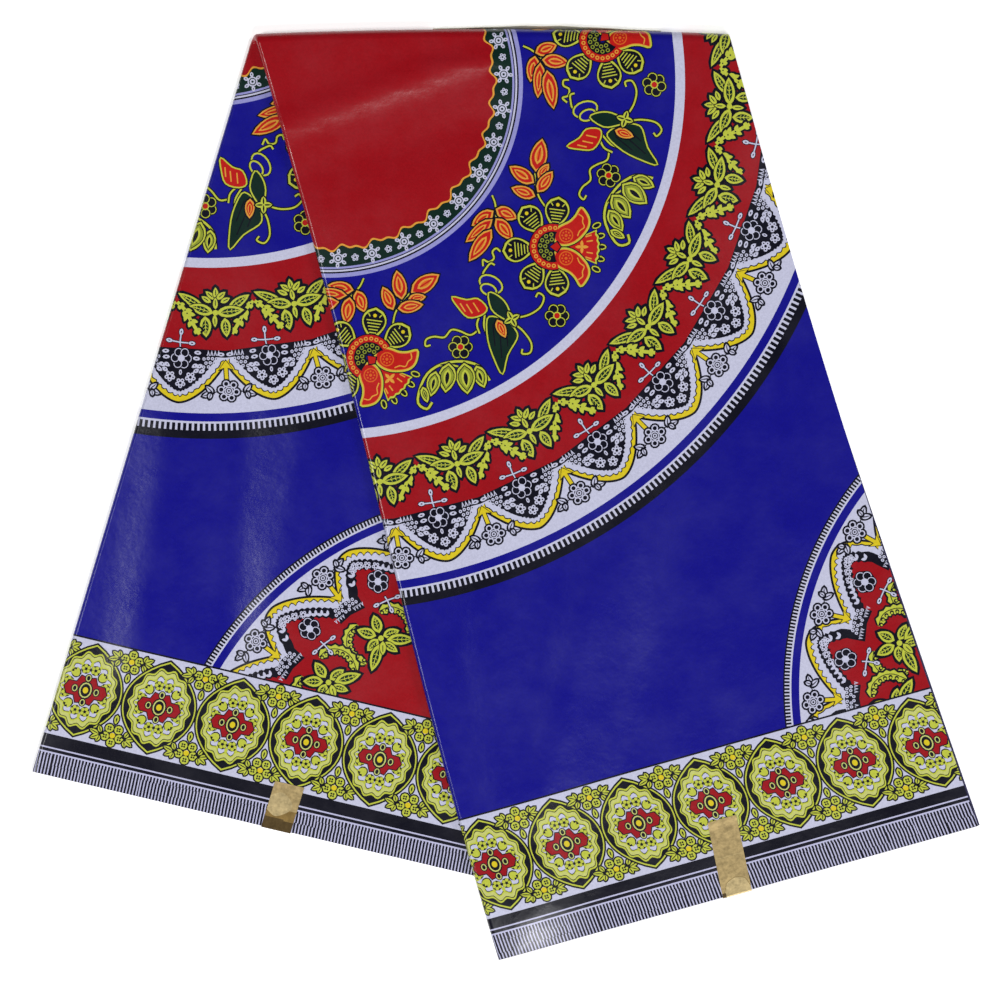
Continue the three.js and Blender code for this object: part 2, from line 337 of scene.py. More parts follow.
class Pen:
    """Draws in its own small axes, x along the ring or border and y away from its middle."""

    def __init__(self, sheet, place, on_cloth=False):
        self.sheet = sheet
        self.place = place
        self.on_cloth = on_cloth

    def fill(self, colour, points):
        self.sheet.add(colour, self.place(np.asarray(points, float)), self.on_cloth)

    def oval(self, colour, centre, rx, ry=None, turn=0.0, steps=12):
        self.fill(colour, oval_points(centre, rx, ry or rx, turn, steps))

    def leaf(self, colour, base, tip, width, grow=0.0, fullness=0.8):
        self.fill(colour, leaf_points(base, tip, width, grow, fullness))

    def fills(self, points, *tones):
        """One outline grown by several distances, each in its own colour."""
        for distance, colour in tones:
            self.fill(colour, grown(points, distance))

    def leaves(self, base, tip, width, *tones, fullness=0.8):
        for grow, colour in tones:
            self.leaf(colour, base, tip, width, grow, fullness)

    def line(self, colour, points, width):
        self.fill(colour, band_points(points, width))

    def ringed(self, centre, rx, ry, rim, line, steps=12):
        for colour, grow in (("ink", rim), (line, 0), ("ink", -rim)):
            self.oval(colour, centre, rx + grow, ry + grow, steps=steps)

    def outlined_line(self, points, width):
        self.line("ink", points, width + 1.6)
        self.line("lime", points, width)

    def moved(self, offset):
        return Pen(self.sheet, lambda points: self.place(points + offset), self.on_cloth)


def polar(radius, angle, centre=(0, 0)):
    """The point at a distance and an angle from a centre."""
    return np.array([centre[0] + radius * math.cos(angle), centre[1] + radius * math.sin(angle)])


def spokes(count, start=0.0):
    """Even angles of one full turn."""
    return [2 * math.pi * n / count + start for n in range(count)]


def unit(ways):
    """The same ways with a length of 1."""
    return ways / np.hypot(ways[..., 0], ways[..., 1])[..., None]


def left_hand(ways):
    """The ways turned left by a right angle."""
    return np.stack([-ways[..., 1], ways[..., 0]], -1)


def inset(base, tip, first, last):
    """The way from base to tip without these shares of it at its ends."""
    base, tip = np.array(base, float), np.array(tip, float)
    return base + (tip - base) * first, tip - (tip - base) * last


def turned(points, angle, centre=(0, 0)):
    points = np.asarray(points, float)
    c, s = math.cos(angle), math.sin(angle)
    return points @ np.array([[c, s], [-s, c]]) + np.asarray(centre, float)


def oval_points(centre, rx, ry, turn=0.0, steps=12):
    t = np.linspace(0, 2 * math.pi, steps, endpoint=False)
    return turned(np.stack([rx * np.cos(t), ry * np.sin(t)], -1), turn, centre)


def leaf_points(base, tip, width, grow=0.0, fullness=0.8, steps=6, skew=0.85):
    base, tip = np.asarray(base, float), np.asarray(tip, float)
    way = unit(tip - base)
    t = np.linspace(0, 1, steps + 1)
    half = (width / 2) * np.sin(math.pi * np.clip(t, 0, 1) ** skew).clip(0, 1) ** fullness + grow
    half[0] = half[-1] = 0
    along = -grow * 1.6 + t * (np.hypot(*(tip - base)) + 3.2 * grow)
    side = np.stack([along, half], -1)
    local = np.concatenate([side, (side * (1, -1))[::-1][1:-1]])
    return base + local[:, :1] * way + local[:, 1:] * left_hand(way)


def band_points(points, width):
    """A line of even width, or of a width for each point."""
    points = np.asarray(points, float)
    half = (np.asarray(width, float) / 2).reshape(-1, 1)
    normal = left_hand(unit(np.gradient(points, axis=0))) * half
    return np.concatenate([points + normal, (points - normal)[::-1]])


def grown(points, distance):
    """A closed outline moved outwards, or inwards for a distance below 0."""
    points = counter_clockwise(np.asarray(points, float))
    return points - distance * left_hand(unit(np.roll(points, -1, 0) - np.roll(points, 1, 0)))


def counter_clockwise(points):
    x, y = points[:, 0], points[:, 1]
    area = np.sum(x * np.roll(y, -1) - y * np.roll(x, -1))
    return points if area > 0 else points[::-1]


def around(centre, radius, angle):
    """Local y points away from the centre and local x runs along the ring."""
    centre = np.asarray(centre, float)

    def place(points):
        r = radius + points[:, 1]
        t = angle + points[:, 0] / radius
        return centre + np.stack([r * np.cos(t), r * np.sin(t)], -1)
    return place


def rigid(centre, radius, angle, turn=0.0):
    """A motif that keeps its shape: x runs round the ring and y to its middle, before the turn."""
    origin = polar(radius, angle, centre)

    def place(points):
        return turned(points, angle + math.pi / 2 + turn, origin)
    return place


def bent_pen(sheet, centre, radius, degrees):
    return Pen(sheet, around(centre, radius, math.radians(degrees)))


def rigid_pen(sheet, centre, radius, degrees, turn=0.0):
    return Pen(sheet, rigid(centre, radius, math.radians(degrees), turn))


def disc(sheet, colour, centre, radius, first=-180.0, last=180.0):
    """A disc, or its wedge between two angles in degrees."""
    t = np.radians(np.arange(first, last, DISC_STEP))
    rim = np.stack([np.cos(t), np.sin(t)], -1) * radius + np.asarray(centre, float)
    whole = last - first >= 360
    sheet.add(colour, rim if whole else np.concatenate([[centre], rim]), False)


def comb_ring(sheet, centre, inner, outer, count, first, last):
    pitch = 360 / count
    half = math.radians(pitch) * inner * 0.21
    for n in range(int(first / pitch), int(last / pitch)):
        bent_pen(sheet, centre, inner, n * pitch).fill("white", box(-half, half, 0, outer - inner))


# Motifs
def round_flower(pen, radius, line="lime", core="scarlet"):
    """Six ringed petals round a heart."""
    petals = [polar(radius * 0.62, t) for t in spokes(6)]
    for at in petals:
        pen.oval("ink", at, radius * 0.42 + 0.75)
    for at in petals:
        pen.ringed(at, radius * 0.42, radius * 0.42, 0.6, line)
    pen.oval(line, (0, 0), radius * 0.34)
    pen.oval(core, (0, 0), radius * 0.25, steps=8)


def hatched_petal(pen, angle):
    near, far, width = 13.5, 33.5, 15.5
    out = polar(1, angle)
    aside = left_hand(out)
    for grow, colour in ((1.3, "ink"), (0.6, "lime"), (-0.4, "ink")):
        pen.fill(colour, leaf_points(out * near, out * far, width, grow, 0.62, 9, 1.3))
    for k in range(5):
        at = out * (near + 3.6 + 2.1 * k)
        reach = 2.4 + 0.75 * k
        pen.line("lime", [at - aside * reach, at + aside * reach], 0.75)
    pen.oval("yellow", out * (far - 4.6), 1.3, steps=8)
    for side in (-1, 1):
        foot = out * (far - 5.6) + aside * side * 3.2
        pen.line("lime", [foot, out * (far - 3.6) + aside * side * 4.6], 0.75)


PAISLEY = [
    (1, 7), (2.6, 12), (6.5, 14.8), (11.5, 17.2), (15.6, 21.2), (19.2, 26.8), (22.8, 23.4), (25, 18.4),
    (24.2, 13.2), (20.8, 8.2), (16.2, 3.9), (10.8, 1.5), (5.4, 1.4), (2, 3.6),
]
PAISLEY_WAVE = [(17.6, 22.4), (20.6, 20.2), (20.4, 17), (21.6, 13.4), (18.6, 11), (17, 7.4)]


def great_flower(pen):
    """Hatched petals on one side, two curved ones and a fan on the other; x points to the fan."""
    for degrees in (83, 128, 185, 236, 277):
        hatched_petal(pen, math.radians(degrees))
    for t in np.radians((-27, -14, 0, 13, 26)):
        for grow, colour in ((1.9, "ink"), (1.2, "lime"), (0.35, "ink")):
            pen.oval(colour, polar(33.4, t), 2.2 + grow, 0.9 + grow, t, 9)
    t = np.linspace(-0.36, 0.36, 22)
    edge = 30.4 + 1.1 * np.abs(np.sin(t * 22))
    fan = np.concatenate([[(9, -2)], np.stack([edge * np.cos(t), edge * np.sin(t)], -1), [(9, 2)]])
    middle = np.array([20.0, 0.0])
    for scale, colour in ((1.14, "ink"), (1.07, "lime"), (0.96, "scarlet")):
        pen.fill(colour, (fan - middle) * scale + middle)
    for t in np.radians((-17, -9, 9, 17)):
        pen.line("amber", [polar(23.5, t), polar(27.8, t)], 0.9)
    for t in spokes(4):
        pen.leaf("amber", middle, polar(4.6, t, middle), 2.2)
    for side in (1, -1):
        pen.fills(closed_line(np.array(PAISLEY) * (1, side), 3),
                  (1.5, "ink"), (0.8, "lime"), (-0.1, "amber"), (-0.8, "scarlet"))
        pen.line("amber", smooth_line(np.array(PAISLEY_WAVE) * (1, side), 3), 0.8)
        eye = (9.2, side * 7.8)
        pen.oval("orange", eye, 4.9, steps=14)
        pen.oval("scarlet", eye, 4.1, steps=14)
        for t in spokes(8):
            pen.oval("orange", polar(2.6, t, eye), 0.7, steps=5)
        pen.oval("orange", eye, 1.1, steps=7)
    arc = np.radians(np.linspace(74, 286, 26))
    for radius, width, colour in ((13, 6.6, "ink"), (13, 5.2, "scarlet"), (6.4, 8.4, "ink")):
        pen.line(colour, radius * np.stack([np.cos(arc), np.sin(arc)], -1), width)
    for t in np.radians(range(82, 284, 16)):
        pen.oval("amber", polar(13, t), 1.5, steps=7)
        pen.oval("scarlet", polar(13, t), 0.75, steps=5)
    for radius, step in ((8.4, 26), (5.0, 40)):
        for t in np.radians(range(96, 270, step)):
            pen.oval("olive", polar(radius, t), 1.5, steps=7)
            pen.oval("ink", polar(radius, t), 0.85, steps=6)
    pen.fill("ink", [(-2.6, 0), (3.4, 4.4), (6.4, 0), (3.4, -4.4)])
    pen.fill("scarlet", [(-1.6, 0), (3, 3.3), (5.4, 0), (3, -3.3)])


def smooth_line(points, steps):
    """Points along a soft curve through the given ones."""
    points = np.asarray(points, float)
    padded = np.concatenate([[2 * points[0] - points[1]], points, [2 * points[-1] - points[-2]]])
    return np.concatenate([curve_between(padded, n, steps) for n in range(len(points) - 1)] + [points[-1:]])


def closed_line(points, steps):
    """A soft closed curve through the given points."""
    points = np.asarray(points, float)
    padded = np.concatenate([points[-1:], points, points[:2]])
    return np.concatenate([curve_between(padded, n, steps) for n in range(len(points))])


def curve_between(padded, n, steps):
    p0, p1, p2, p3 = padded[n:n + 4]
    t = np.linspace(0, 1, steps, endpoint=False)[:, None]
    return 0.5 * (2 * p1 + (p2 - p0) * t + (2 * p0 - 5 * p1 + 4 * p2 - p3) * t * t
                  + (3 * p1 - p0 - 3 * p2 + p3) * t ** 3)


def spray_leaf(pen, base, tip, width):
    """A red leaf with an amber rim and a small leaf drawn inside it."""
    pen.leaves(base, tip, width, (1.4, "ink"), (0.5, "amber"), (-0.4, "scarlet"))
    pen.leaf("amber", *inset(base, tip, 0.2, 0.16), width * 0.54)
    pen.leaf("orange", *inset(base, tip, 0.3, 0.26), width * 0.3)
    pen.line("scarlet", inset(base, tip, 0.3, 0.26), 1.0)


# Each spray: its stem, then its leaves as base, tip and width, in the flower's axes
SPRAYS = [
    ([(-4.8, 27), (-9.4, 34), (-12.2, 44), (-11.8, 52)],
     [((-11.6, 52), (-7.4, 73), 10.5), ((-13.4, 44), (-29, 54.4), 8.8), ((-12.6, 34.6), (-27.6, 40), 7.4),
      ((-9.6, 47.6), (-3.2, 56), 5), ((-10, 37.8), (-0.6, 51), 7.4)]),
    ([(-41.4, 35), (-39.2, 29), (-38.6, 20)],
     [((-38.2, 25.4), (-25, 19.6), 8), ((-38.4, 18.6), (-28, 5.4), 8.4), ((-41, 24), (-54.6, 14.6), 7.6),
      ((-41.6, 18.2), (-58.8, 3.4), 7), ((-42, 11.2), (-56.6, -9.6), 9)]),
]
SCROLLS = [
    [(-35.6, -3.4), (-38.4, -1.2), (-41, -3.6), (-40, -8), (-43.6, -10.6), (-47.4, -9), (-47.4, -13.4)],
    [(-39.4, -12.6), (-42.2, -11.4), (-45, -14.4), (-47.4, -18.6), (-45.8, -23)],
    [(-50.4, -57), (-56, -60.4), (-63.4, -57.6), (-69, -57), (-73.6, -62), (-80.6, -61.6), (-86, -63.6),
     (-86.4, -68), (-83, -67.4)],
    [(-49, -45.6), (-51.4, -53), (-49.6, -59.4)],
    [(-46, -45), (-46.6, -54), (-44.4, -60)],
    [(-24.3, -48.6), (-15.8, -46.4), (-8.4, -41.4), (-5.8, -34.6), (-9.4, -31.6), (-11.4, -34.4)],
    [(-26, -52.7), (-19.9, -57.6), (-14.4, -65.6), (-15, -72.2), (-20.4, -73), (-20.4, -69.8)],
]
UPPER_WING = [(-43.6, -31.6), (-37, -33.6), (-31, -40), (-28, -50.6), (-34.6, -48.4), (-41.6, -42.6)]
LOWER_WING = [(-44.4, -49.4), (-38.6, -48), (-31, -50.6), (-24.8, -57.4), (-24.2, -63), (-30.4, -74),
              (-33.8, -87), (-39, -78), (-43.8, -64)]
RED_WING = [(-44.6, -42), (-51, -35.6), (-58.6, -36.4), (-68.6, -34.4), (-64, -42), (-57.4, -48.4),
            (-48.4, -46.8)]
RED_VEINS = [((-50, -44.6), (-54, -38.4)), ((-54.6, -45.6), (-58.6, -39.4)), ((-59.4, -44.4), (-63, -38.8))]
LOWER_VEINS = [((-36, -54), (-34.4, -76)), ((-40.6, -53), (-39, -68)), ((-31, -56), (-30.4, -68))]
BUD_ARCH = [(-42.6, -91.4), (-49.6, -81.8), (-61.6, -78.4), (-75.4, -80.4), (-85.2, -87), (-90.2, -97.4),
            (-91.4, -107), (-85.4, -111), (-81.8, -106.4)]
BUDS = [
    ((-51.4, -82.4), (-46.6, -95.2), 7.4), ((-60, -80.6), (-57.8, -99.6), 11.4),
    ((-70.6, -80.8), (-72.6, -98.6), 10.4), ((-79.6, -86.4), (-82.6, -101.2), 7.6),
    ((-88, -97), (-85.4, -105.4), 3.6),
]


def butterfly(pen):
    for x, y, rx, ry, turn in ((-42, -25.6, 8.2, 5.2, -0.5), (-43.6, -29.4, 5.4, 3.4, -0.4)):
        for grow, colour in ((1.5, "ink"), (0.8, "lime"), (-0.4, "blue")):
            pen.oval(colour, (x, y), rx + grow, ry + grow, turn, 16)
    for outline, inside in ((LOWER_WING, "green"), (UPPER_WING, "green"), (RED_WING, "scarlet")):
        pen.fills(closed_line(outline, 3), (1.3, "ink"), (0.6, "lime"), (-0.4, inside))
    for vein_line in RED_VEINS:
        pen.line("amber", vein_line, 0.9)
    for vein_line in LOWER_VEINS:
        pen.line("ink", vein_line, 0.8)
    spray_leaf(pen, (-37.4, -50.6), (-32.2, -61.4), 5.6)
    head = (-27.6, -49.4)
    tips = [polar(5.4, t, head) for t in spokes(4, 0.5)]
    for tip in tips:
        pen.leaf("ink", head, tip, 3.4, 1.0)
    for tip in tips:
        pen.leaf("lime", head, tip, 3.2, 0.3)
        pen.leaf("ink", head, tip, 1.1)


def bud_curl(pen):
    """A bowed stem with hanging buds."""
    pen.outlined_line(smooth_line(BUD_ARCH, 3), 1.6)
    pen.outlined_line(smooth_line([(-76, -82), (-70, -80.8), (-64, -82)], 2), 1.2)
    for base, tip, width in BUDS:
        pen.leaves(base, tip, width, (1.5, "ink"), (0.8, "lime"), (-0.2, "ink"), (-0.7, "olive"),
                   fullness=0.9)
        pen.leaf("lime", *inset(base, tip, 0.16, 0.16), width * 0.5)
        pen.leaf("ink", *inset(base, tip, 0.26, 0.24), width * 0.26)


def white_star(pen, radius):
    """A small round flower with a ringed heart and six looped petals."""
    for t in spokes(6):
        pen.oval("white", polar(radius * 0.92, t), radius * 0.36, radius * 0.25, t, 7)
        pen.oval("green", polar(radius * 0.95, t), radius * 0.14, radius * 0.08, t, 5)
    for share, steps, colour in ((0.66, 14, "white"), (0.5, 12, "green"), (0.38, 10, "white"),
                                 (0.17, 6, "green")):
        pen.oval(colour, (0, 0), radius * share, steps=steps)


# The garland's leaves, from the middle of a bunch; y points to the ring's middle
GARLAND = [
    ((-7.4, 3.2), (-25.4, 14.6), 6.2), ((8.6, 3), (23.4, 12.8), 6.4), ((-7.2, -1.6), (-6.6, -16.2), 7.8),
    ((6.2, -3), (7.6, -16.2), 6.8), ((-1.4, 0.4), (-18, 5.8), 7.4), ((0.6, 0.4), (19.8, 2.4), 7.8),
    ((-0.6, -0.8), (-0.4, -9.4), 3.4), ((-3, 7.6), (-9.4, 12), 3.6), ((3.6, 7.6), (10, 10.6), 3.6),
    ((0, 9.6), (-6.6, 15.4), 3.8), ((0.4, 10), (0.2, 18), 3.8), ((0.8, 9.6), (7, 14.8), 3.8),
    ((0, 3), (0, 11), 3.4),
]


def leaf_bunch(pen, leaves=GARLAND):
    for base, tip, width in leaves:
        pen.leaf("ink", base, tip, width, 1.5)
    for base, tip, width in leaves:
        pen.leaves(base, tip, width, (0.45, "ink"), (0.0, "lime"))
        if width > 5:
            pen.leaf("green", *inset(base, tip, 0.16, 0.14), width * 0.56)
            vein(pen, *inset(base, tip, 0.2, 0.18), width * 0.4)
        else:
            pen.line("green", inset(base, tip, 0.3, 0.24), 0.6)
    pen.oval("lime", (0, 0.6), 2.0, steps=8)


def vein(pen, base, tip, width):
    """A midrib with slanting side veins."""
    way = unit(tip - base)
    aside = left_hand(way)
    pen.line("lime", [base, tip], 0.55)
    for share in (0.25, 0.5, 0.75):
        at = base + (tip - base) * share
        for side in (-1, 1):
            pen.line("lime", [at, at + way * 1.1 + aside * side * width * 0.5], 0.4)


def serrated_pair(pen):
    """Two lobed leaves that spread from one point; y points to the ring's middle."""
    for side in (-1, 1):
        spine = smooth_line([(side * 0.4, 7), (side * 6.2, 2), (side * 10.8, -4.8), (side * 17.4, -13.6)], 3)
        lobes = np.linspace(0.14, 0.94, 5)
        reach = np.array([2.2, 3.2, 3.8, 3.2, 2.2])
        way = unit(np.gradient(spine, axis=0))
        for grow, colour in ((1.2, "ink"), (0.0, "lime")):
            pen.line(colour, spine, 2.4 + 2 * grow)
            for share, length in zip(lobes, reach):
                n = int(share * (len(spine) - 1))
                for hand in (-1, 1):
                    out = way[n] * 0.9 + hand * left_hand(way[n])
                    pen.leaf(colour, spine[n], spine[n] + out * length * 1.15, 3.0, grow)
        for share in lobes[:-1]:
            n = int(share * (len(spine) - 1))
            pen.oval("green", spine[n], 0.6, steps=5)


def trefoil(pen):
    """A small white cross with three looped ends; y points to the ring's middle."""
    tips = [(np.array(tip), math.atan2(tip[1], tip[0])) for tip in ((-7.4, 1.0), (8.2, -0.2), (0.4, 7.2))]
    for tip, angle in tips:
        pen.line("ink", [(0, 0), tip * 0.75], 1.9)
        pen.oval("ink", tip, 2.9, 2.0, angle, 8)
    pen.line("ink", [(0, 0.5), (0.4, -3.6)], 1.8)
    for tip, angle in tips:
        pen.line("white", [(0, 0), tip * 0.7], 0.9)
        pen.oval("white", tip, 2.3, 1.4, angle, 8)
        pen.oval("ink", tip, 0.9, 0.45, angle, 6)
    pen.line("white", [(0, 0.5), (0.4, -3)], 0.8)


def small_blossom(pen, centre, radius, inside="ink"):
    """Five white petals round a ringed heart."""
    petals = [polar(radius * 0.66, t, centre) for t in spokes(5, 0.3)]
    for colour, size, steps in (("white", 0.42, 8), (inside, 0.17, 5)):
        for at in petals:
            pen.oval(colour, at, radius * size, steps=steps)
    pen.oval("white", centre, radius * 0.46, steps=8)
    pen.oval(inside, centre, radius * 0.3, steps=7)


SPRIG = [((11, 1.4), (17.6, 3.6), 3.6), ((10.4, 1.2), (15, -3.4), 3.4), ((12, 1.4), (13, 5.4), 2.8)]


def ink_cluster(pen):
    """A round flower drawn in ink, with a sprig on each side."""
    for side in (-1, 1):
        pen.line("ink", [(side * 7, 0), (side * 11, 1.6), (side * 15.5, 0.6)], 0.8)
        for base, tip, width in SPRIG:
            base, tip = np.array(base) * (side, 1), np.array(tip) * (side, 1)
            pen.leaves(base, tip, width, (0.9, "ink"), (-0.1, "white"))
            pen.leaf("ink", base, tip, width * 0.22)
    for t in spokes(6, 0.2):
        pen.oval("ink", polar(5.0, t), 3.6, steps=10)
    for t in spokes(6, 0.2):
        pen.oval("white", polar(5.1, t), 2.3, steps=9)
        pen.oval("ink", polar(5.1, t), 1.5, steps=7)
        pen.oval("white", polar(3.9, t + 0.5), 0.6, steps=5)
    for radius, colour in ((2.9, "white"), (2.2, "ink"), (1.5, "white"), (0.7, "ink")):
        pen.oval(colour, (0, 0), radius, steps=9)


def scallop(half, inner, outer):
    """One arch of the lace: inner at its ends, outer in its middle."""
    x = np.linspace(-half, half, 53)
    return np.stack([x, inner + (outer - inner) * (1 - np.abs(x / half) ** 1.65)], -1)


def offset_inward(curve, distance, wave=0.0, length=5.2):
    """The arch's curve moved to its hollow side, with ripples of the given height and length."""
    run = np.concatenate([[0], np.cumsum(np.hypot(*np.diff(curve, axis=0).T))])
    ripple = wave * (1 - 2 * np.abs(np.sin(math.pi * run / length)))
    return curve - left_hand(unit(np.gradient(curve, axis=0))) * (distance + ripple)[:, None]


def open_side(curve, top):
    """The area from an arch's curve to a line across its open side."""
    return np.concatenate([curve, [(curve[-1, 0], top), (curve[0, 0], top)]])


def box(left, right, low, high):
    return np.array([(left, low), (right, low), (right, high), (left, high)])


def arch_lines(pen, curve, inner, half, top, line, tooth):
    """White lining and a yellow line along an arch, with teeth on its hollow side."""
    pen.fill("white", box(-half, half, inner + 1, top))
    pen.fill("white", open_side(curve, top))
    from_peak = np.abs(np.arange(len(curve)) - curve[:, 1].argmax())
    thick = line * (0.62 + 0.5 * np.clip(1 - from_peak / len(curve) * 2.6, 0, 1))
    rim = offset_inward(curve, thick + 0.8, tooth)
    pen.fill("ink", np.concatenate([offset_inward(curve, -1.5), rim[::-1]]))
    pen.fill("yellow", np.concatenate([curve, offset_inward(curve, thick, tooth)[::-1]]))


def lace_ground(pen, curve, half, top, low, ripple):
    """The lace's ink ground, from a rippled line inside the arch to its open side."""
    ground = offset_inward(curve, *ripple)
    keep = (ground[:, 1] > top + 1) & (np.abs(ground[:, 0]) < half * 0.97)
    pen.fill("ink", open_side(ground[keep], top))
    pen.fill("ink", box(-half, half, low, top))


def ringlet(pen, at):
    pen.oval("white", at, 1.25, steps=7)
    pen.oval("ink", at, 0.5, steps=5)


def chevron(pen, x, foot, notch, head, half, stroke):
    pen.fill("white", [(x - half, head), (x, foot), (x + half, head), (x + stroke, head), (x, notch),
                       (x - stroke, head)])


def lace_unit(pen, half, inner, outer, top):
    """White lace on an ink ground inside one arch."""
    curve = scallop(half, inner, outer)
    arch_lines(pen, curve, inner, half, top, 3.3, 0.8)
    lace_ground(pen, curve, half, top, inner - 2.6, (6.9, 0.6, 3.4))
    for side in (-1, 1):
        for k in range(4):
            x = side * half * 0.73 + (k - 1.5) * 2.5
            chevron(pen, x, top - 0.6, top + 1.4, top + 3.2, 1.15, 0.45)
        for x, y in ((11.6, 1.2), (10.8, 5.2), (half - 3.2, 2.4)):
            pen.oval("white", (side * x, top + y), 2.6, 1.4, side * 0.1, 8)
            pen.oval("ink", (side * x, top + y), 1.1, 0.5, 0, 5)
        for x, y in ((16.2, 5.4), (19.2, 5.0), (22.2, 5.2), (25.0, 5.4), (17.6, 8.2), (20.6, 8.0),
                     (23.4, 8.2), (19.4, 10.8), (16, 11)):
            ringlet(pen, (side * x, top + y))
        for x, y in ((13, 10.4), (14.6, 13.8), (10.6, 13.6), (9.6, 10.2)):
            pen.leaf("white", (side * (x + 2.2), top + y - 1), (side * (x - 2.0), top + y + 1.2), 2.9)
            pen.oval("ink", (side * x, top + y), 0.5, steps=5)
        small_blossom(pen, (side * 7.0, top + 18.2), 3.5)
    small_blossom(pen, (0.4, top + 22.4), 3.3)
    pen.oval("white", (0, top + 15), 1.1, 1.9, 0, 8)
    pen.oval("ink", (0, top + 15), 0.4, 0.9, 0, 5)
    pen.oval("ink", (0, top + 5.4), 7.6, steps=16)
    round_flower(pen.moved((0, top + 5.4)), 7.2, "white", "white")


PEAK_RIM = [(0, -2.2), (5.6, 6), (1.9, 4.8), (2.2, 14), (-1.6, 14), (-1.9, 4.8), (-5.6, 6)]
PEAK_FACE = [(0, -1.2), (4.6, 5), (1.2, 3.8), (1.5, 13), (-0.9, 13), (-1.2, 3.8), (-4.6, 5)]


def peak_mark(pen, inner):
    """Where two arches meet: the yellow line is widened and has a short trunk."""
    pen.fill("ink", np.array(PEAK_RIM) + (0, inner))
    pen.fill("yellow", np.array(PEAK_FACE) + (0, inner))


def leaning_scallop(half, inner, outer, lean):
    """An arch whose outermost point lies towards one side, steep there and long on the other."""
    t = np.linspace(-1, 1, 53)
    top = 0.28 * lean
    reach = np.where(t < top, (top - t) / (1 + top), (t - top) / (1 - top))
    steep = np.where((t - top) * lean > 0, 2.5, 1.42)
    return np.stack([t * half, inner + (outer - inner) * (1 - np.clip(reach, 0, 1) ** steep)], -1)


def medallion_lace(pen, half, inner, outer, lean):
    """The second medallion's lace: a chain of blossoms round a hollow of red."""
    top = inner - 13
    curve = leaning_scallop(half, inner, outer, lean)
    arch_lines(pen, curve, inner, half, top, 3.0, 1.3)
    lace_ground(pen, curve, half, top, inner - 3, (7.0, 0.7, 4.2))
    hollow = offset_inward(curve, 14.2, 0.8, 5.0)
    keep = (hollow[:, 1] > top) & (np.abs(hollow[:, 0]) < half - 10)
    pen.fill("red", open_side(hollow[keep], top - 3))
    chain = offset_inward(curve, 11.0)
    peak = int(curve[:, 1].argmax())
    for step in (-9, -4, 1, 6, 11, 16):
        small_blossom(pen, chain[peak - lean * step], 2.7)
    for step in (-15, -12, 19, 22, 25, 28):
        x, y = chain[peak - lean * step]
        for turn in (-0.8, 0.8):
            pen.leaf("white", (x, y - 1.6), (x + turn * 3.0, y + 1.6), 2.1)
    for side in (-1, 1):
        for x, y in ((1.8, -4.6), (4.8, -4.4), (7.6, -4.6), (3.2, -7.2), (6.2, -7.2), (1.6, -9.2), (9, -7.4)):
            ringlet(pen, (side * (half - x), inner + y))
        for k in range(4):
            chevron(pen, side * (half - 5.2 - 2.3 * k), top + 0.4, top + 1.9, top + 3.4, 1.0, 0.4)
    pen.oval("ink", (0, outer - 27.5), 8.0, steps=16)
    round_flower(pen.moved((0, outer - 27.5)), 7.6, "white", "white")


# The second medallion's leaves, and the two crests beside them; y points to the ring's middle
MEDALLION_BUNCH = [
    ((-2, 0), (-13.6, 2.6), 6.6), ((2, 0), (12.6, 3), 6.6), ((-1, -3), (-4.2, -15.6), 7.4),
    ((2, -2.4), (11, -13), 7.4), ((-3, 3.4), (-19, 13.4), 7.6), ((3, 3.4), (17.4, 16.4), 7.6),
    ((0, 4), (-4.8, 14.6), 5.6), ((0, 3), (5, 11), 4.4),
]
CREST = [(8.6, -15.4), (16.6, -14), (22, -7.4), (22.8, 0.8), (18, 10.4)]


def crested_bunch(pen):
    for side in (-1, 1):
        spine = smooth_line(np.array(CREST) * (side, 1), 4)
        n = np.arange(len(spine))
        lobes = 5.6 + 1.3 * np.cos(n * math.pi)
        lobes[0] = lobes[-1] = 1.0
        pen.line("ink", spine, (lobes + 3)[:, None])
        pen.line("lime", spine, lobes[:, None])
        for at in spine[1:-1:2]:
            pen.oval("ink", at * 0.93, 1.5, steps=8)
            pen.oval("lime", at * 0.91, 0.8, steps=6)
        pen.line("ink", spine * 1.02, 0.6)
    leaf_bunch(pen, MEDALLION_BUNCH)


def lozenge_points(half_width, half_height):
    """An oval with a point at its top and its foot."""
    t = np.linspace(0, 1, 10)
    quarter = np.stack([half_width * (1 - t ** 2.1) ** 0.9, half_height * t], -1)
    upper = np.concatenate([quarter, (quarter * (-1, 1))[::-1][1:]])
    return np.concatenate([upper, (upper * (1, -1))[::-1][1:-1]])


def cartouche_points(half_width, half_height, wave):
    """An oval with fourteen soft lobes."""
    t = np.linspace(0, 2 * math.pi, 84, endpoint=False)
    reach = 1 + wave * np.cos(14 * t)
    y = np.sign(np.sin(t)) * np.abs(np.sin(t)) ** 1.15
    return np.stack([half_width * reach * np.cos(t), half_height * reach * y], -1)


HALF_STAR = np.array([(15, 0), (12.4, 4.4), (7.2, 4.6), (5.0, 9.4), (0, 8.2), (-5.0, 9.4), (-7.2, 4.6),
                      (-12.4, 4.4)])


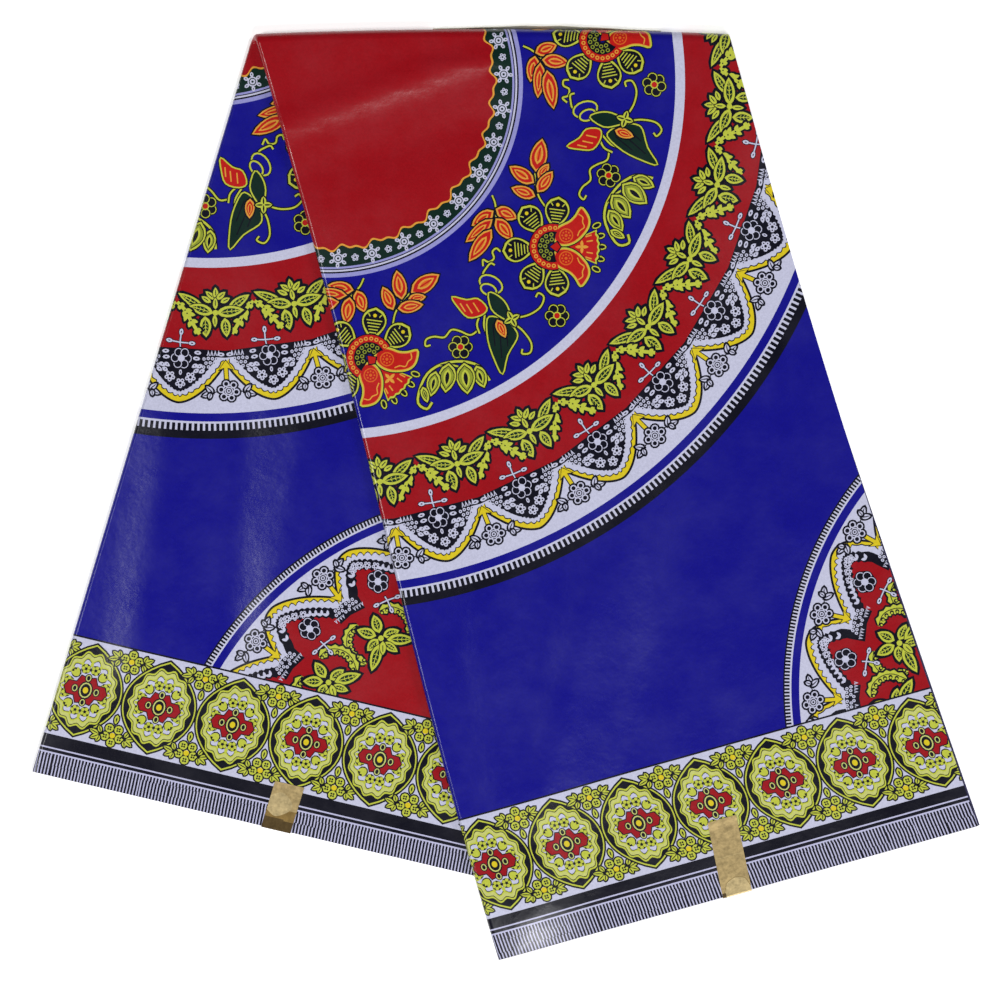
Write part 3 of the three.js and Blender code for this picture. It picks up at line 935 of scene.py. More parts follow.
def lozenge(pen):
    for width, height, colour in ((26.4, 33.6, "ink"), (25.3, 32.2, "lime"), (24.4, 31.0, "ink")):
        pen.fill(colour, lozenge_points(width, height))
    for width, height, wave, colour in (
        (21.2, 26.2, 0.05, "lime"), (20.2, 24.9, 0.055, "ink"), (19.7, 24.3, 0.055, "pale"),
        (17.9, 21.7, 0.065, "lime"), (17.2, 20.7, 0.07, "ink"), (16.7, 20.1, 0.07, "white"),
    ):
        pen.fill(colour, cartouche_points(width, height, wave))
    for t in spokes(16):
        pen.oval("lime", (15.8 * math.cos(t), 18.0 * math.sin(t)), 1.9, 1.3, t, 7)
    places = [(t, np.array([13.2 * math.cos(t), 15.0 * math.sin(t)])) for t in spokes(12, 0.26)]
    for _, at in places:
        pen.oval("ink", at, 3.6, steps=9)
    for n, (t, at) in enumerate(places):
        if n % 3 == 1:
            for k in (-1, 0, 1):
                pen.leaf("lime", at * 0.8, at * 1.2 + polar(2.8 * k, t + math.pi / 2), 2.7)
        else:
            for petal in spokes(5, t):
                pen.oval("lime", polar(2.1, petal, at), 1.3, steps=6)
            pen.oval("ink", at, 0.7, steps=5)
    star = np.concatenate([HALF_STAR, -HALF_STAR])
    pen.fill("ink", grown(star, 0.8))
    pen.fill("red", star)
    for at in ((-7.6, 0), (7.6, 0), (0, -8.6), (0, 8.6)):
        pen.ringed(at, 1.9, 2.4, 0.7, "pale", 9)
    for rx, ry, colour in ((5.2, 6.4, "ink"), (4.3, 5.4, "pale"), (3.4, 4.5, "ink"), (1.9, 2.2, "yellow")):
        pen.oval(colour, (0, 0), rx, ry, steps=14)


BERRIES = [(0, 31.0), (-5.0, 27.3), (-3.2, 21.4), (3.2, 21.4), (5.0, 27.3)]
BERRY_LEAVES = [((8.4, 25.4), (10.6, 21.2)), ((9.6, 26.8), (16.4, 24.8)), ((9.4, 27.6), (14.6, 30.6)),
                ((8.6, 28), (10, 32))]


def berry_sprig(pen, side):
    """A bunch of yellow berries that fills the corner between two lozenges."""
    berries = np.array(BERRIES) * (1, side)
    for at in berries:
        pen.oval("ink", at, 3.9, steps=10)
    for at in berries:
        pen.oval("lime", at, 2.9, steps=10)
        for t in spokes(4, 0.8):
            pen.oval("ink", polar(1.1, t, at), 0.75, steps=5)
    pen.oval("yellow", (0, side * 26), 2.0, steps=8)
    pen.leaf("ink", (0, side * 11.5), (0, side * 18), 3.6, 0.7)
    pen.leaf("lime", (0, side * 11.5), (0, side * 18), 3.2)
    pen.leaf("ink", (0, side * 13), (0, side * 16.6), 1.0)
    for way in (-1, 1):
        leaves = np.array(BERRY_LEAVES) * (way, side)
        for base, tip in leaves:
            pen.leaf("ink", base, tip, 3.3, 0.7)
        pen.line("ink", [(way * 6, side * 25.6), (way * 10.4, side * 27)], 1.2)
        for base, tip in leaves:
            pen.leaf("lime", base, tip, 2.9)
            pen.leaf("ink", base, tip, 0.7)


def main_medallion(sheet, centre, flowers, peaks, first, last):
    """The round medallion, from its outer ring to its red middle; angles in degrees."""
    for radius, colour in ((360, "ink"), (349.6, "white"), (348.2, "blue"), (342.6, "white"), (304, "red")):
        disc(sheet, colour, centre, radius)
    comb_ring(sheet, centre, 348.6, 354.4, 588, first, last)
    span = 11.35
    half = math.radians(span) / 2 * 318
    units = range(int((peaks - last) / span) - 1, int((peaks - first) / span) + 2)
    for n in units:
        lace_unit(bent_pen(sheet, centre, 318, peaks - (n + 0.5) * span), half, -10.6, 17, -18)
    for n in units:
        pen = bent_pen(sheet, centre, 318, peaks - n * span)
        peak_mark(pen, -10.2)
        ink_cluster(pen.moved((1.4, 9.4)))
    for n in units:
        trefoil(rigid_pen(sheet, centre, 294.6, peaks - (n + 0.5) * span - 0.3))
        leaf_bunch(rigid_pen(sheet, centre, 274.4, peaks - n * span - 1.2))
        serrated_pair(rigid_pen(sheet, centre, 274.4, peaks - (n + 0.5) * span - 1.2))
    disc(sheet, "white", centre, 243)
    disc(sheet, "blue", centre, 236.4)
    for angle in flowers:
        flower_group(rigid_pen(sheet, centre, 188.9, angle, GREAT_FLOWER_TURN))
    for radius, colour in ((132.4, "hatch"), (129.6, "ink"), (128.5, "white"), (127.3, "ink"),
                           (126.6, "hatch"), (125.2, "green")):
        disc(sheet, colour, centre, radius)
    for n in range(32):
        white_star(rigid_pen(sheet, centre, 119.4, n * 11.25 + 3, 0.4), 5.2)
        small_blossom(rigid_pen(sheet, centre, 119.8, n * 11.25 + 8.6), (0, 0), 2.5, "green")
    t = np.radians(np.arange(-180, 180, 0.6))
    wave = 113.0 + 1.5 * np.sin(t * 32 + 1.6) + 1.1 * np.sin(t * 64)
    for grow, colour in ((0, "amber"), (-1.3, "red")):
        rim = np.stack([np.cos(t), np.sin(t)], -1) * (wave + grow)[:, None] + np.asarray(centre, float)
        sheet.add(colour, rim, False)


def flower_group(pen):
    """One eighth of the flower band, in its great flower's axes."""
    for stem, leaves in SPRAYS:
        pen.outlined_line(smooth_line(stem, 3), 1.1)
        for base, tip, width in leaves:
            spray_leaf(pen, base, tip, width)
    for points in SCROLLS:
        pen.outlined_line(smooth_line(points, 5), 1.2)
    butterfly(pen)
    bud_curl(pen)
    for place in ((3.2, -47), (-62.6, -68.6)):
        round_flower(pen.moved(place), 8.0)
    great_flower(pen)


def second_medallion(sheet, centre, radius, peak, first, last, lean):
    """The medallion that the border cuts off; radius is its blue ring's inner edge."""
    for step, colour in ((11, "ink"), (6.6, "white"), (5.4, "blue"), (0, "white"), (-40, "red")):
        disc(sheet, colour, centre, radius + step, first, last)
    comb_ring(sheet, centre, radius + 6, radius + 10, 610, first, last)
    span = 16.4
    middle = radius - 16
    half = math.radians(span) / 2 * middle
    units = range(int((first - peak) / span) - 1, int((last - peak) / span) + 1)
    for n in units:
        medallion_lace(bent_pen(sheet, centre, middle, peak + (n + 0.5) * span), half, -12.0, 12.8, lean)
    for n in units:
        pen = bent_pen(sheet, centre, middle, peak + n * span)
        peak_mark(pen, -12.3)
        ink_cluster(pen.moved((1.2, 6.6)))
        crested_bunch(rigid_pen(sheet, centre, radius - 65, peak + n * span - lean * 2.8))
    for n in units:
        trefoil(rigid_pen(sheet, centre, radius - 45, peak + (n + 0.5) * span))


# Border bands by their distance from the selvedge
BORDER = {
    "front": {"top": 100.0, "stripe": 29.4, "stripe_end": 21.9, "comb": 17.6, "middle": 64.4, "first": -36.0,
              "pitch": 51.7, "shear": 0.075},
    "back": {"top": 97.9, "stripe": 28.1, "stripe_end": 19.4, "comb": 15.2, "middle": 62.6, "first": -32.8,
             "pitch": 52.2, "shear": 0.02},
}
COMB_PITCH = 2.29
COMB_TOOTH = 0.92
COMB_LEAN = 0.07


def strip_across(sheet, colour, low, high, left, right):
    xs = np.arange(left, right + STRIP_STEP, STRIP_STEP)
    lower = np.stack([xs, np.full_like(xs, low)], -1)
    upper = np.stack([xs[::-1], np.full_like(xs, high)], -1)
    sheet.add(colour, np.concatenate([lower, upper]), True)


def border(sheet, leg):
    b = BORDER[leg]
    left, right = -8, SELVEDGE_WIDTH + 6
    for colour, low, high in (
        ("ink", -3, b["top"] + 0.5), ("white", b["stripe"], b["top"] - 0.7),
        ("comb", b["stripe_end"] - 1.0, b["stripe_end"]), ("comb", b["comb"], b["comb"] + 1.1),
    ):
        strip_across(sheet, colour, low, high, left - UNDER_WIDTH, right)
    for n in range(8):
        x = b["first"] + b["pitch"] * n

        def place(points, x=x):
            return np.stack([x + points[:, 0] - b["shear"] * points[:, 1], b["middle"] + points[:, 1]], -1)
        pen = Pen(sheet, place, True)
        lozenge(pen)
        for side in (-1, 1):
            berry_sprig(pen.moved((b["pitch"] / 2, 0)), side)
    comb_edge(sheet, b["comb"] + 0.3, left, right, 11 if leg == "front" else 12)


def comb_edge(sheet, top, left, right, seed):
    """Pale threads along the selvedge, each in three short pieces that are a little out of line."""
    rng = np.random.default_rng(seed)
    for n in range(int((right - left) / COMB_PITCH)):
        if n % 9 == 0:
            breaks = np.array([rng.uniform(0.2, 0.5), rng.uniform(0.6, 0.9)]) * top
            shifts = rng.uniform(-0.35, 0.35, 3)
        ends = [0.1, *(breaks + rng.uniform(-0.3, 0.3, 2)), top]
        for k in range(3):
            low, high = ends[k] + 0.06, ends[k + 1] - 0.06
            if high - low > 0.6:
                x = left + n * COMB_PITCH + shifts[k]
                foot, head = x - COMB_LEAN * low, x - COMB_LEAN * high
                sheet.add("comb", [(foot, low), (foot + COMB_TOOTH, low), (head + COMB_TOOTH, high),
                                   (head, high)], True)


# How far the great flower's fan turns from the way round the ring
GREAT_FLOWER_TURN = math.radians(-54.1)

# Where each medallion lies in plan; angles in degrees
MAIN_MEDALLION = {
    "front": {"centre": (-120.15, 279.3), "flowers": (54.5, 9.2, -36.1, -81.6, -127), "peaks": -13.4,
              "first": -125, "last": 40},
    "back": {"centre": (-202.0, 397.0), "flowers": (-18.2, -63.5, -108.8), "peaks": -76.6,
             "first": -110, "last": -30},
}
SECOND_MEDALLION = {
    "front": {"centre": (422.6, -132.9), "radius": 221.4, "peak": 149.6, "first": 118, "last": 196,
              "lean": -1},
    "back": {"centre": (2.1, -238.9), "radius": 230.0, "peak": 124.7, "first": 96, "last": 165,
             "lean": 1},
}


def leg_print(leg):
    sheet = Print(leg)
    main_medallion(sheet, **MAIN_MEDALLION[leg])
    second_medallion(sheet, **SECOND_MEDALLION[leg])
    border(sheet, leg)
    return sheet.placed()


# Cutting a flat sheet into triangles along its print
def triangulate(loops, lines, loose):
    """Triangles inside the loops, with each one's loops; lines are cut through them."""
    verts, edges, faces = [], [], []
    for loop in loops:
        faces.append(list(range(len(verts), len(verts) + len(loop))))
        verts.extend(Vector(point) for point in loop.tolist())
    for line in lines:
        edges.extend((n, n + 1) for n in range(len(verts), len(verts) + len(line) - 1))
        verts.extend(Vector(point) for point in line.tolist())
    verts.extend(Vector(point) for point in loose.tolist())
    out = delaunay_2d_cdt(verts, edges, faces, 1, CUT_EPSILON)
    inside = [n for n, owners in enumerate(out[5]) if 0 in owners]
    return np.array([tuple(v) for v in out[0]]), [out[2][n] for n in inside], [out[5][n] for n in inside]


def painted(points, triangles, owners, boxes):
    """The number of the last shape over each triangle."""
    centres = points[np.array(triangles)].mean(1).tolist()
    result = []
    for (x, y), shapes in zip(centres, owners):
        over = [n for n in shapes if boxes[n][0] <= x <= boxes[n][2] and boxes[n][1] <= y <= boxes[n][3]]
        result.append(max(over))
    return np.array(result)


def colour_borders(triangles, colours):
    """The edges that part two colours."""
    triangles = np.array(triangles)
    sides = np.concatenate([triangles[:, [0, 1]], triangles[:, [1, 2]], triangles[:, [2, 0]]])
    tones = np.concatenate([colours] * 3)
    sides = np.sort(sides, axis=1)
    order = np.lexsort((sides[:, 1], sides[:, 0]))
    sides, tones = sides[order], tones[order]
    pair = np.all(sides[:-1] == sides[1:], axis=1)
    return sides[:-1][pair & (tones[:-1] != tones[1:])]


def cut_print(region, lines, loose, shapes):
    """Flat points, triangles and a colour name for each, with only the outlines that show."""
    loops = [region] + [counter_clockwise(points) for _, points in shapes]
    names = ["blue"] + [colour for colour, _ in shapes]
    boxes = [(*loop.min(0) - 0.01, *loop.max(0) + 0.01) for loop in loops]
    points, triangles, owners = triangulate(loops, lines, loose)
    palette = sorted(set(names))
    tone = np.array([palette.index(name) for name in names])[painted(points, triangles, owners, boxes)]
    borders = colour_borders(triangles, tone)
    flat = np.concatenate([points, np.zeros((len(points), 1))], 1)
    tree = BVHTree.FromPolygons(flat.tolist(), [list(t) for t in triangles])
    outlines = [points[pair] for pair in borders]
    points, triangles, _ = triangulate([region], lines + outlines, loose)
    centres = points[np.array(triangles)].mean(1)
    colours = [palette[tone[tree.find_nearest((x, y, 0.0))[2]]] for x, y in centres.tolist()]
    return points, np.array(triangles), colours


# Laying the flat sheets on the folded form
def lay(leg, flat, inward=0.0):
    """Cloth places (across, along) as points of the folded form, inward millimetres under its skin."""
    a, depth = round_the_edge(flat[:, 0], inward)
    length = thread_length(leg, a / SELVEDGE_WIDTH)
    on_leg = leg_point(leg, a, 1 - flat[:, 1] / length, depth)
    if leg == "back":
        return on_leg
    past = flat[:, 1] - length
    angle = np.maximum(past, 0) / TURN_LENGTH * math.pi
    return np.where((past > 0)[:, None], turn_point(a, angle, depth), on_leg)


def skin_normals(leg, flat):
    step = 0.05
    across = lay(leg, flat + (step, 0)) - lay(leg, flat - (step, 0))
    along = lay(leg, flat + (0, step)) - lay(leg, flat - (0, step))
    normal = np.cross(across, along)
    return normal / np.linalg.norm(normal, axis=1)[:, None]


def far_end(leg, p):
    """Where the sheet ends along each thread: past the turn on the front, at the turn on the back."""
    a, _ = round_the_edge(p)
    return thread_length(leg, a / SELVEDGE_WIDTH) + (TURN_LENGTH if leg == "front" else 0)


def sheet_grid(leg):
    """The sheet's outline, the lines where it bends sharply, and loose points between."""
    columns = np.concatenate([
        np.linspace(UNDER_EDGE - UNDER_WIDTH, UNDER_EDGE, UNDER_COLUMNS)[:-1],
        np.linspace(UNDER_EDGE, STACK_RADIUS, WRAP_COLUMNS + 1),
        np.linspace(STACK_RADIUS, SELVEDGE_WIDTH, int(SELVEDGE_WIDTH / FACE_STEP) + 1)[1:],
    ])
    rows = np.linspace(0, 1, LEG_ROWS)
    turn = np.linspace(0, 1, TURN_ROWS + 1)
    ends = far_end(leg, columns)
    leg_length = ends - (TURN_LENGTH if leg == "front" else 0)

    def thread(n):
        """The whole line of one column, on the front also over the turn."""
        along = rows * leg_length[n]
        if leg == "front":
            along = np.concatenate([along, leg_length[n] + turn[1:] * TURN_LENGTH])
        return np.stack([np.full_like(along, columns[n]), along], -1)
    bends = (columns >= UNDER_EDGE - 0.01) & (columns <= STACK_RADIUS + 0.01)
    lines = [thread(n) for n in np.flatnonzero(bends)]
    if leg == "front":
        lines += [np.stack([columns, leg_length + row * TURN_LENGTH], -1) for row in turn[:-1]]
    loose = np.concatenate([np.stack([columns, row * leg_length], -1) for row in rows[1:-1]])
    low = np.stack([columns, np.zeros_like(columns)], -1)
    high = np.stack([columns, ends], -1)
    region = np.concatenate([low[:-1], thread(-1)[:-1], high[::-1][:-1], thread(0)[::-1][:-1]])
    return region, lines, loose


def outline_of(triangles):
    """The directed edges that only one triangle has."""
    sides = np.concatenate([triangles[:, [0, 1]], triangles[:, [1, 2]], triangles[:, [2, 0]]])
    keys = {tuple(side) for side in sides.tolist()}
    return np.array([side for side in sides.tolist() if (side[1], side[0]) not in keys])


def mesh_object(name, points, faces, colours, material, normals=None):
    """A mesh in metres; colours are linear, one for each face, and normals one for each corner."""
    mesh = bpy.data.meshes.new(name)
    mesh.from_pydata((np.asarray(points) * MM).tolist(), [], [list(face) for face in faces])
    layer = mesh.color_attributes.new("print", "FLOAT_COLOR", "CORNER")
    sizes = [len(face) for face in faces]
    rgba = np.repeat(np.concatenate([np.asarray(colours), np.ones((len(faces), 1))], 1), sizes, axis=0)
    layer.data.foreach_set("color", rgba.ravel().astype(np.float32))
    if normals is not None:
        mesh.normals_split_custom_set(np.asarray(normals).tolist())
    obj = bpy.data.objects.new(name, mesh)
    bpy.context.scene.collection.objects.link(obj)
    mesh.materials.append(material)
    return obj


def cloth_sheet(leg, material):
    """A printed skin, a plain one inside it and the rim between them, as one closed mesh."""
    region, lines, loose = sheet_grid(leg)
    flat, outer, names = cut_print(region, lines, loose, leg_print(leg))
    rim = outline_of(outer)
    loop = [int(rim[0][0])]
    after = {int(a): int(b) for a, b in rim}
    while after[loop[-1]] != loop[0]:
        loop.append(after[loop[-1]])
    inner_flat, inner, _ = triangulate([flat[loop]], lines, loose)
    inner = np.array(inner)
    outside = lay(leg, flat)
    inside = lay(leg, inner_flat, PLY)
    offset = len(outside)
    nearest = {tuple(np.round(point, 3)): n for n, point in enumerate(inner_flat)}
    under = {n: offset + nearest[tuple(np.round(flat[n], 3))] for n in loop}
    sides = [(b, a, under[a], under[b]) for a, b in zip(loop, loop[1:] + loop[:1])]
    points = np.concatenate([outside, inside])
    faces = outer.tolist() + (inner[:, ::-1] + offset).tolist() + [list(side) for side in sides]
    tones = [linear(COLOURS[n]) for n in names] + [linear(INSIDE_TONE)] * len(inner)
    tones += [linear(RIM_TONE)] * len(sides)
    outer_normals = skin_normals(leg, flat)[outer].reshape(-1, 3)
    inner_normals = -skin_normals(leg, inner_flat)[inner[:, ::-1]].reshape(-1, 3)
    corners = points[np.array(sides)]
    flat_normals = np.cross(corners[:, 1] - corners[:, 0], corners[:, 3] - corners[:, 0])
    flat_normals = flat_normals / np.linalg.norm(flat_normals, axis=1)[:, None]
    normals = np.concatenate([outer_normals, inner_normals, np.repeat(flat_normals, 4, axis=0)])
    return mesh_object(leg + "_cloth", points, faces, tones, material, normals)


# The hidden plies, seen only at their cut and folded edges
def block(name, points, tones, material):
    """A closed mesh over a grid of points [across, along, level]; tones has a colour for each level."""
    ni, nj, nk = points.shape[:3]
    number = np.arange(ni * nj * nk).reshape(ni, nj, nk)
    faces, levels = [], []

    def side(grid, level, flip):
        quads = np.stack([grid[:-1, :-1], grid[1:, :-1], grid[1:, 1:], grid[:-1, 1:]], -1)
        quads = quads[..., ::-1] if flip else quads
        faces.append(quads.reshape(-1, 4))
        levels.append(np.broadcast_to(level, quads.shape[:2]).ravel())
    side(number[:, :, 0], 0, True)
    side(number[:, :, -1], nk - 2, False)
    side(number[0], np.arange(nk - 1), True)
    side(number[-1], np.arange(nk - 1), False)
    side(number[:, 0], np.arange(nk - 1), False)
    side(number[:, -1], np.arange(nk - 1), True)
    faces, levels = np.concatenate(faces), np.concatenate(levels)
    used, packed = np.unique(faces, return_inverse=True)
    packed = packed.reshape(faces.shape)
    points = points.reshape(-1, 3)[used]
    return mesh_object(name, points, packed.tolist(), np.array(tones)[levels], material)


def ply_setbacks(rng, places):
    """How far each ply's edge lies in from the outer one's, at places from 0 to 1 along the edge."""
    setbacks = []
    for _ in range(EDGE_LAYERS):
        setback = np.full_like(places, rng.uniform(0.1, 0.9))
        for k in (1, 2, 5):
            height = rng.uniform(0.05, 0.35) / k
            setback = setback + height * np.sin(2 * math.pi * k * (places + rng.random()))
        setbacks.append(setback)
    return setbacks


def layered_plies(leg, material, seed):
    rng = np.random.default_rng(seed)
    across = np.linspace(0, 1, PLY_COLUMNS)
    rows = np.linspace(0, 1, PLY_ROWS)
    turn = np.linspace(0, 1, TURN_ROWS + 1)[1:] if leg == "front" else np.array([])
    count = len(rows) + len(turn)
    top, bottom = PLY + PLY_CLEARANCE, STACK - PLY - PLY_CLEARANCE
    thick = (bottom - top) / EDGE_LAYERS
    at_side = ply_setbacks(rng, np.linspace(0, 1, count))
    at_end = ply_setbacks(rng, across)
    levels = []
    for n in range(EDGE_LAYERS):
        for share, notch in ((0.0, EDGE_NOTCH), (0.1, 0.0), (0.82, 0.0)):
            levels.append((top + (n + share) * thick, n, notch))
    levels.append((bottom, EDGE_LAYERS - 1, EDGE_NOTCH))
    radius = (bottom - top) / 2
    grid = np.zeros((PLY_COLUMNS, count, len(levels), 3))
    proud = PROUD_EDGE * smooth((0.5 - np.linspace(0, 1, count)) / 0.3) if leg == "front" else 0
    for k, (depth, n, notch) in enumerate(levels):
        left = STACK_RADIUS - math.sqrt(max(radius ** 2 - (depth - STACK_RADIUS) ** 2, 0))
        right = SELVEDGE_WIDTH - at_side[n] - notch + proud
        for j in range(count):
            a = left + (right[j] - left) * across
            depths = np.full_like(a, depth)
            if j < PLY_ROWS:
                pulled_in = (at_end[n] + notch) * (1 - rows[j]) ** 8
                v = 1 - rows[j] - pulled_in / thread_length(leg, a / SELVEDGE_WIDTH)
                grid[:, j, k] = leg_point(leg, a, v, depths)
            else:
                grid[:, j, k] = turn_point(a, np.full_like(a, turn[j - PLY_ROWS] * math.pi), depth)
    # Each ply's edge takes its own tone; its notched groove gets the painted shade
    tones = [LAYER_TONES[(n * 5 + seed) % len(LAYER_TONES)] if notch == 0 else GROOVE_SHADE_TONE
             for _, n, notch in levels[:-1]]
    return block(leg + "_plies", grid, [linear(tone) for tone in tones], material)


def pale_ply(name, material):
    u = np.linspace(PALE_PLY["from"], PALE_PLY["to"], 61)
    shares = np.linspace(0.5, 0.84, 11)
    points = np.zeros((len(u), len(shares), 2, 3))
    rise = (u - PALE_PLY["from"]) / (PALE_PLY["peak"] - PALE_PLY["from"])
    fall = (PALE_PLY["to"] - u) / (PALE_PLY["to"] - PALE_PLY["peak"])
    near = smooth(np.where(u < PALE_PLY["peak"], rise, fall))
    ripple = 1 + 0.12 * np.sin(u * 70) * near
    for j, share in enumerate(shares):
        angle = np.full_like(u, share * math.pi)
        bulge = PALE_PLY["bulge"] * near * np.sin(angle) * ripple
        for k, off in enumerate((PALE_OFF, PALE_OFF + PALE_THICKNESS)):
            points[:, j, k] = turn_point(u * SELVEDGE_WIDTH, angle, -(off + bulge))
    return block(name, points, [linear(PALE_TONE)], material)


def label_print(leg):
    """The foil label's flat pattern of lighter and darker patches: x across, y in from the selvedge."""
    t = np.linspace(0, 2 * math.pi, 60, endpoint=False)
    if leg == "front":
        patch = np.stack([1.0 + 9.4 * np.cos(t) + 0.5 * np.cos(7 * t), 0.5 + 10.5 * np.sin(t)], -1)
        return [("foil_line", grown(patch, 0.35)), ("foil_light", patch),
                ("foil_dark", box(-12, -7.6, -5, 2.4)), ("foil_pale", box(-11, 11, 26, 26.5))]
    patch = np.stack([-3.4 + 8.6 * np.cos(t) + 1.1 * np.cos(3 * t), 17 + 8.4 * np.sin(t)], -1)
    return [("foil_dark", box(-12, 12, -5, 12.5)), ("foil_low", box(-12, 12, 7.5, 14)), ("foil_light", patch),
            ("foil_low", box(3.2, 12, 6.5, 11))]


def label(leg, material):
    """A thin foil label along the visible face, bent down over the cut ends."""
    centre, length, slant = LABELS[leg]
    xs = np.linspace(-LABEL_WIDTH / 2, LABEL_WIDTH / 2, 13)
    ys = np.concatenate([np.linspace(-LABEL_OVERHANG, 0, 8), np.linspace(0, length, int(length / 2))[1:]])

    def row(y):
        return np.stack([xs, np.full_like(xs, y)], -1)

    def column(x):
        return np.stack([np.full_like(ys, x), ys], -1)
    region = np.concatenate([row(ys[0])[:-1], column(xs[-1])[:-1], row(ys[-1])[::-1][:-1],
                             column(xs[0])[::-1][:-1]])
    loose = np.stack(np.meshgrid(xs[1:-1], ys[1:-1]), -1).reshape(-1, 2)
    bend = [row(y) for y in ys[1:8]]
    flat, faces, names = cut_print(region, bend, loose, label_print(leg))

    def place(off):
        from_end = np.maximum(flat[:, 1], 0)
        past = np.maximum(-flat[:, 1], 0)
        bent = np.clip(past / 0.8, 0, math.pi / 2)
        a = centre + flat[:, 0] + slant * from_end
        beyond = 0.5 * np.sin(bent) + off * np.sin(bent) + 0.2 * (past > 0)
        depth = 0.5 * (1 - np.cos(bent)) - (LABEL_OFF + off) * np.cos(bent) + np.maximum(past - 1.26, 0)
        near_top = smooth((from_end - length + LABEL_CURL_LENGTH) / LABEL_CURL_LENGTH)
        curl = LABEL_CURL * near_top * (0.4 + 0.6 * np.abs(flat[:, 0]) / LABEL_WIDTH)
        v = 1 - (from_end - beyond) / thread_length(leg, a / SELVEDGE_WIDTH)
        return leg_point(leg, a, v, depth - curl)
    count = len(flat)
    sides = [[b, a, a + count, b + count] for a, b in outline_of(faces).tolist()]
    tones = [linear(FOIL_TONES.get(n, FOIL_TONES["foil"])) for n in names] * 2
    tones += [linear(FOIL_TONES["foil"])] * len(sides)
    points = np.concatenate([place(LABEL_FOIL), place(0.0)])
    all_faces = faces.tolist() + (faces[:, ::-1] + count).tolist() + sides
    return mesh_object(leg + "_label", points, all_faces, tones, material)


# Materials
class Nodes:
    """A new material, with a short way to add and join its shader nodes."""

    def __init__(self, name):
        self.material = bpy.data.materials.new(name)
        self.material.use_nodes = True
        self.tree = self.material.node_tree
        self.tree.nodes.clear()
        self.place = self.add("ShaderNodeTexCoord").outputs["Object"]

    def add(self, kind, inputs=None, **settings):
        node = self.tree.nodes.new(kind)
        for key, value in settings.items():
            setattr(node, key, value)
        for key, value in (inputs or {}).items():
            if isinstance(value, bpy.types.NodeSocket):
                self.tree.links.new(value, node.inputs[key])
            else:
                node.inputs[key].default_value = value
        return node

    def noise(self, scale, detail=3.0, roughness=0.55):
        return self.add("ShaderNodeTexNoise", {
            "Vector": self.place, "Scale": scale, "Detail": detail, "Roughness": roughness,
        }).outputs["Fac"]

    def span(self, value, low, high, to_low, to_high):
        return self.add("ShaderNodeMapRange", {
            "Value": value, "From Min": low, "From Max": high, "To Min": to_low, "To Max": to_high,
        }).outputs["Result"]

    def bump(self, height, distance, strength, **more):
        return self.add("ShaderNodeBump", {
            "Height": height, "Distance": distance, "Strength": strength, **more,
        }).outputs["Normal"]

    def print_colour(self):
        """The colour that each face of the mesh has."""
        return self.add("ShaderNodeVertexColor", layer_name="print").outputs["Color"]

    def brighter(self, colour, value):
        return self.add("ShaderNodeHueSaturation", {"Color": colour, "Value": value}).outputs["Color"]

    def finish(self, inputs):
        shader = self.add("ShaderNodeBsdfPrincipled", inputs).outputs["BSDF"]
        self.add("ShaderNodeOutputMaterial", {"Surface": shader})
        return self.material


THREAD_SCALE = 520.0
# The pale colour of the painted sheen, mixed into the print in mottled patches
PAINTED_SHEEN_COLOUR = (0.32, 0.3, 0.5, 1.0)


def cloth_material(name, rough_low, rough_high, bump, painted_sheen):
    """Cloth that takes its print from the mesh's colours, with weave, grain and a mottled painted sheen."""
    nodes = Nodes(name)
    mottle = nodes.noise(24.0, 5.0, 0.62)
    grain = nodes.noise(700.0, 2.0, 0.7)
    # Painted sheen: in random mottled patches the print is mixed towards a pale lavender, a painted milky
    # highlight
    painted_sheen_mix = nodes.span(mottle, 0.45, 0.75, 0.0, painted_sheen)
    paler = nodes.add("ShaderNodeMix", {"Factor": painted_sheen_mix, 6: nodes.print_colour(), 7: PAINTED_SHEEN_COLOUR},
                      data_type="RGBA").outputs[2]
    across, along = [
        nodes.add("ShaderNodeTexWave", {"Vector": nodes.place, "Scale": THREAD_SCALE, "Distortion": 1.2},
                  bands_direction=way).outputs["Fac"] for way in "XY"]
    weave = nodes.add("ShaderNodeMath", {0: across, 1: along}, operation="MULTIPLY").outputs["Value"]
    crumple = nodes.noise(34.0, 4.0, 0.6)
    soft = nodes.bump(crumple, 0.0018, bump)
    fine = nodes.bump(weave, 0.00006, 0.25, Normal=soft)
    return nodes.finish({
        "Base Color": nodes.brighter(paler, nodes.span(grain, 0.3, 0.7, 0.9, 1.08)),
        "Roughness": nodes.span(mottle, 0.3, 0.7, rough_low, rough_high),
        "Normal": fine, "Specular IOR Level": 0.4,
    })


def foil_material():
    nodes = Nodes("label_foil")
    grain = nodes.noise(260.0, 4.0, 0.7)
    ripple = nodes.noise(90.0, 3.0, 0.6)
    return nodes.finish({
        "Base Color": nodes.brighter(nodes.print_colour(), nodes.span(grain, 0.3, 0.7, 0.8, 1.15)),
        "Roughness": nodes.span(grain, 0.3, 0.7, 0.34, 0.5), "Metallic": 0.55,
        "Normal": nodes.bump(ripple, 0.0006, 0.5),
    })


def floor_material():
    nodes = Nodes("pale_floor")
    tone = nodes.span(nodes.noise(3.0), 0.3, 0.7, 0.92, 0.96)
    colour = nodes.add("ShaderNodeCombineColor", {"Red": tone, "Green": tone, "Blue": tone}).outputs["Color"]
    return nodes.finish({
        "Base Color": colour, "Roughness": 0.7,
        "Emission Color": (1.0, 1.0, 1.0, 1.0), "Emission Strength": 0.35,
    })


# The pieces
# The last number is how much painted sheen is mixed into each cloth's colour
printed = cloth_material("printed_cloth", 0.24, 0.34, 0.34, 0.01)
layered = cloth_material("layered_cloth", 0.6, 0.8, 0.2, 0.05)
pale = cloth_material("pale_cloth", 0.6, 0.8, 0.4, 0.0)
foil = foil_material()

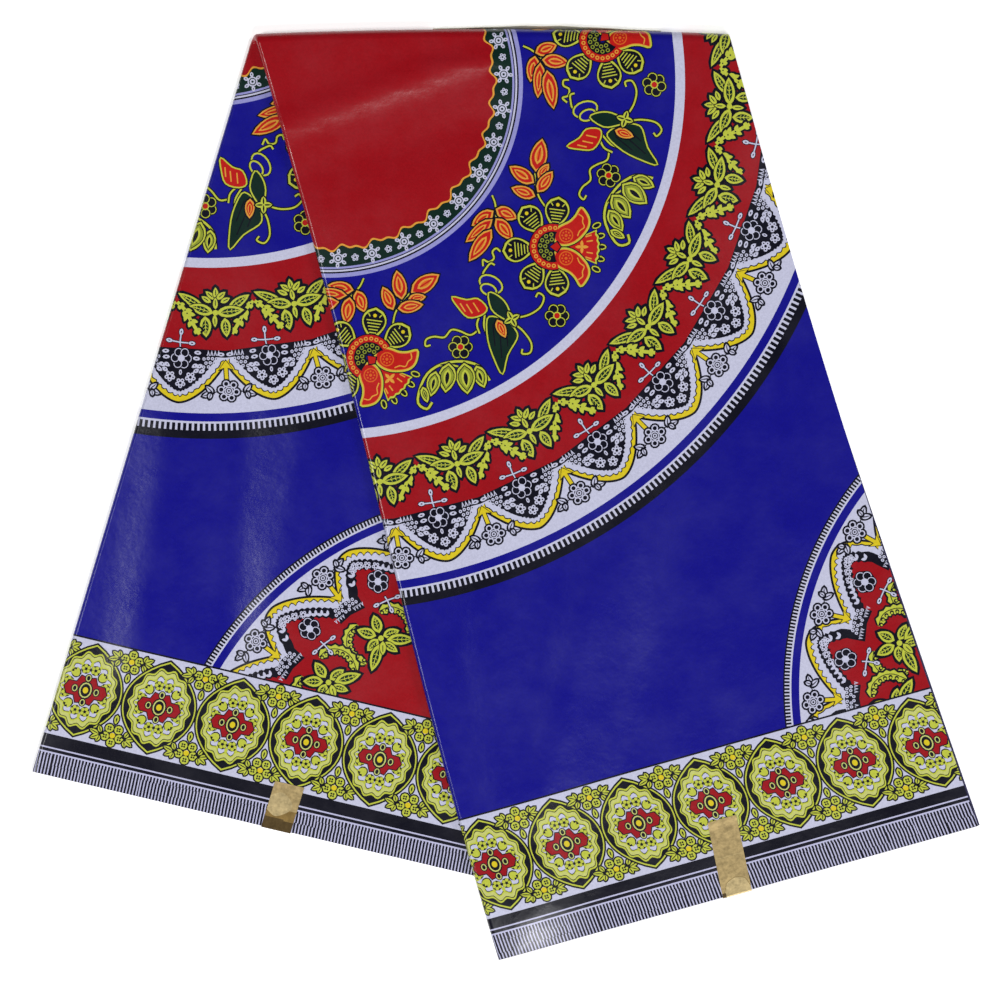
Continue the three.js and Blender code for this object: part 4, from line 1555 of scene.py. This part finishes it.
front = cloth_sheet("front", printed)
back = cloth_sheet("back", printed)
front_plies = layered_plies("front", layered, 3)
back_plies = layered_plies("back", layered, 5)
sliver = pale_ply("pale_sliver", pale)
front_label = label("front", foil)
back_label = label("back", foil)

# Pieces, the solids they stand for and their finish
for piece, nodes_for, finish in (
    (front, ("front_leg_outer_ply", "top_fold_outer_ply"), "printed_cloth"),
    (back, ("back_leg_outer_ply",), "printed_cloth"),
    (front_plies, ("front_leg_inner_plies", "top_fold_inner_plies"), "layered_cloth"),
    (back_plies, ("back_leg_inner_plies",), "layered_cloth"),
    (sliver, ("top_fold_pale_ply",), "pale_cloth"),
    (front_label, ("front_leg_label",), "label_foil"),
    (back_label, ("back_leg_label",), "label_foil"),
):
    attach(piece, "root")
    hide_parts(*nodes_for)

# Floor, soft lights and camera
bpy.ops.mesh.primitive_plane_add(size=12)
floor = bpy.context.object
floor.name = "floor"
floor.data.materials.append(floor_material())


def area_light(name, place, size, power):
    """A soft light that points at the middle of the cloth."""
    data = bpy.data.lights.new(name, "AREA")
    data.shape = "RECTANGLE"
    data.size, data.size_y = size
    data.energy = power
    light = bpy.data.objects.new(name, data)
    light.location = place
    light.rotation_euler = (-Vector(place)).to_track_quat("-Z", "Y").to_euler()
    bpy.context.scene.collection.objects.link(light)
    return light


lights = [
    area_light("near_light", (0.7, -2.0, 2.75), (0.7, 0.7), 74),
    area_light("left_light", (-1.6, -0.25, 2.05), (0.5, 0.5), 31),
    area_light("right_light", (1.9, 0.9, 1.7), (0.9, 0.9), 26),
]

world = bpy.data.worlds.new("studio")
bpy.context.scene.world = world
world.use_nodes = True
world.node_tree.nodes["Background"].inputs["Color"].default_value = (1.0, 1.0, 1.0, 1.0)
world.node_tree.nodes["Background"].inputs["Strength"].default_value = 0.08

bpy.context.scene.view_settings.view_transform = "Standard"
camera_data = bpy.data.cameras.new("camera")
camera = bpy.data.objects.new("camera", camera_data)
camera.location = (*PHOTO_CENTRE, CAMERA_HEIGHT)
camera_data.sensor_width = 36.0
camera_data.lens = 36.0 * CAMERA_HEIGHT / PHOTO_SPAN
bpy.context.scene.collection.objects.link(camera)
bpy.context.scene.camera = camera
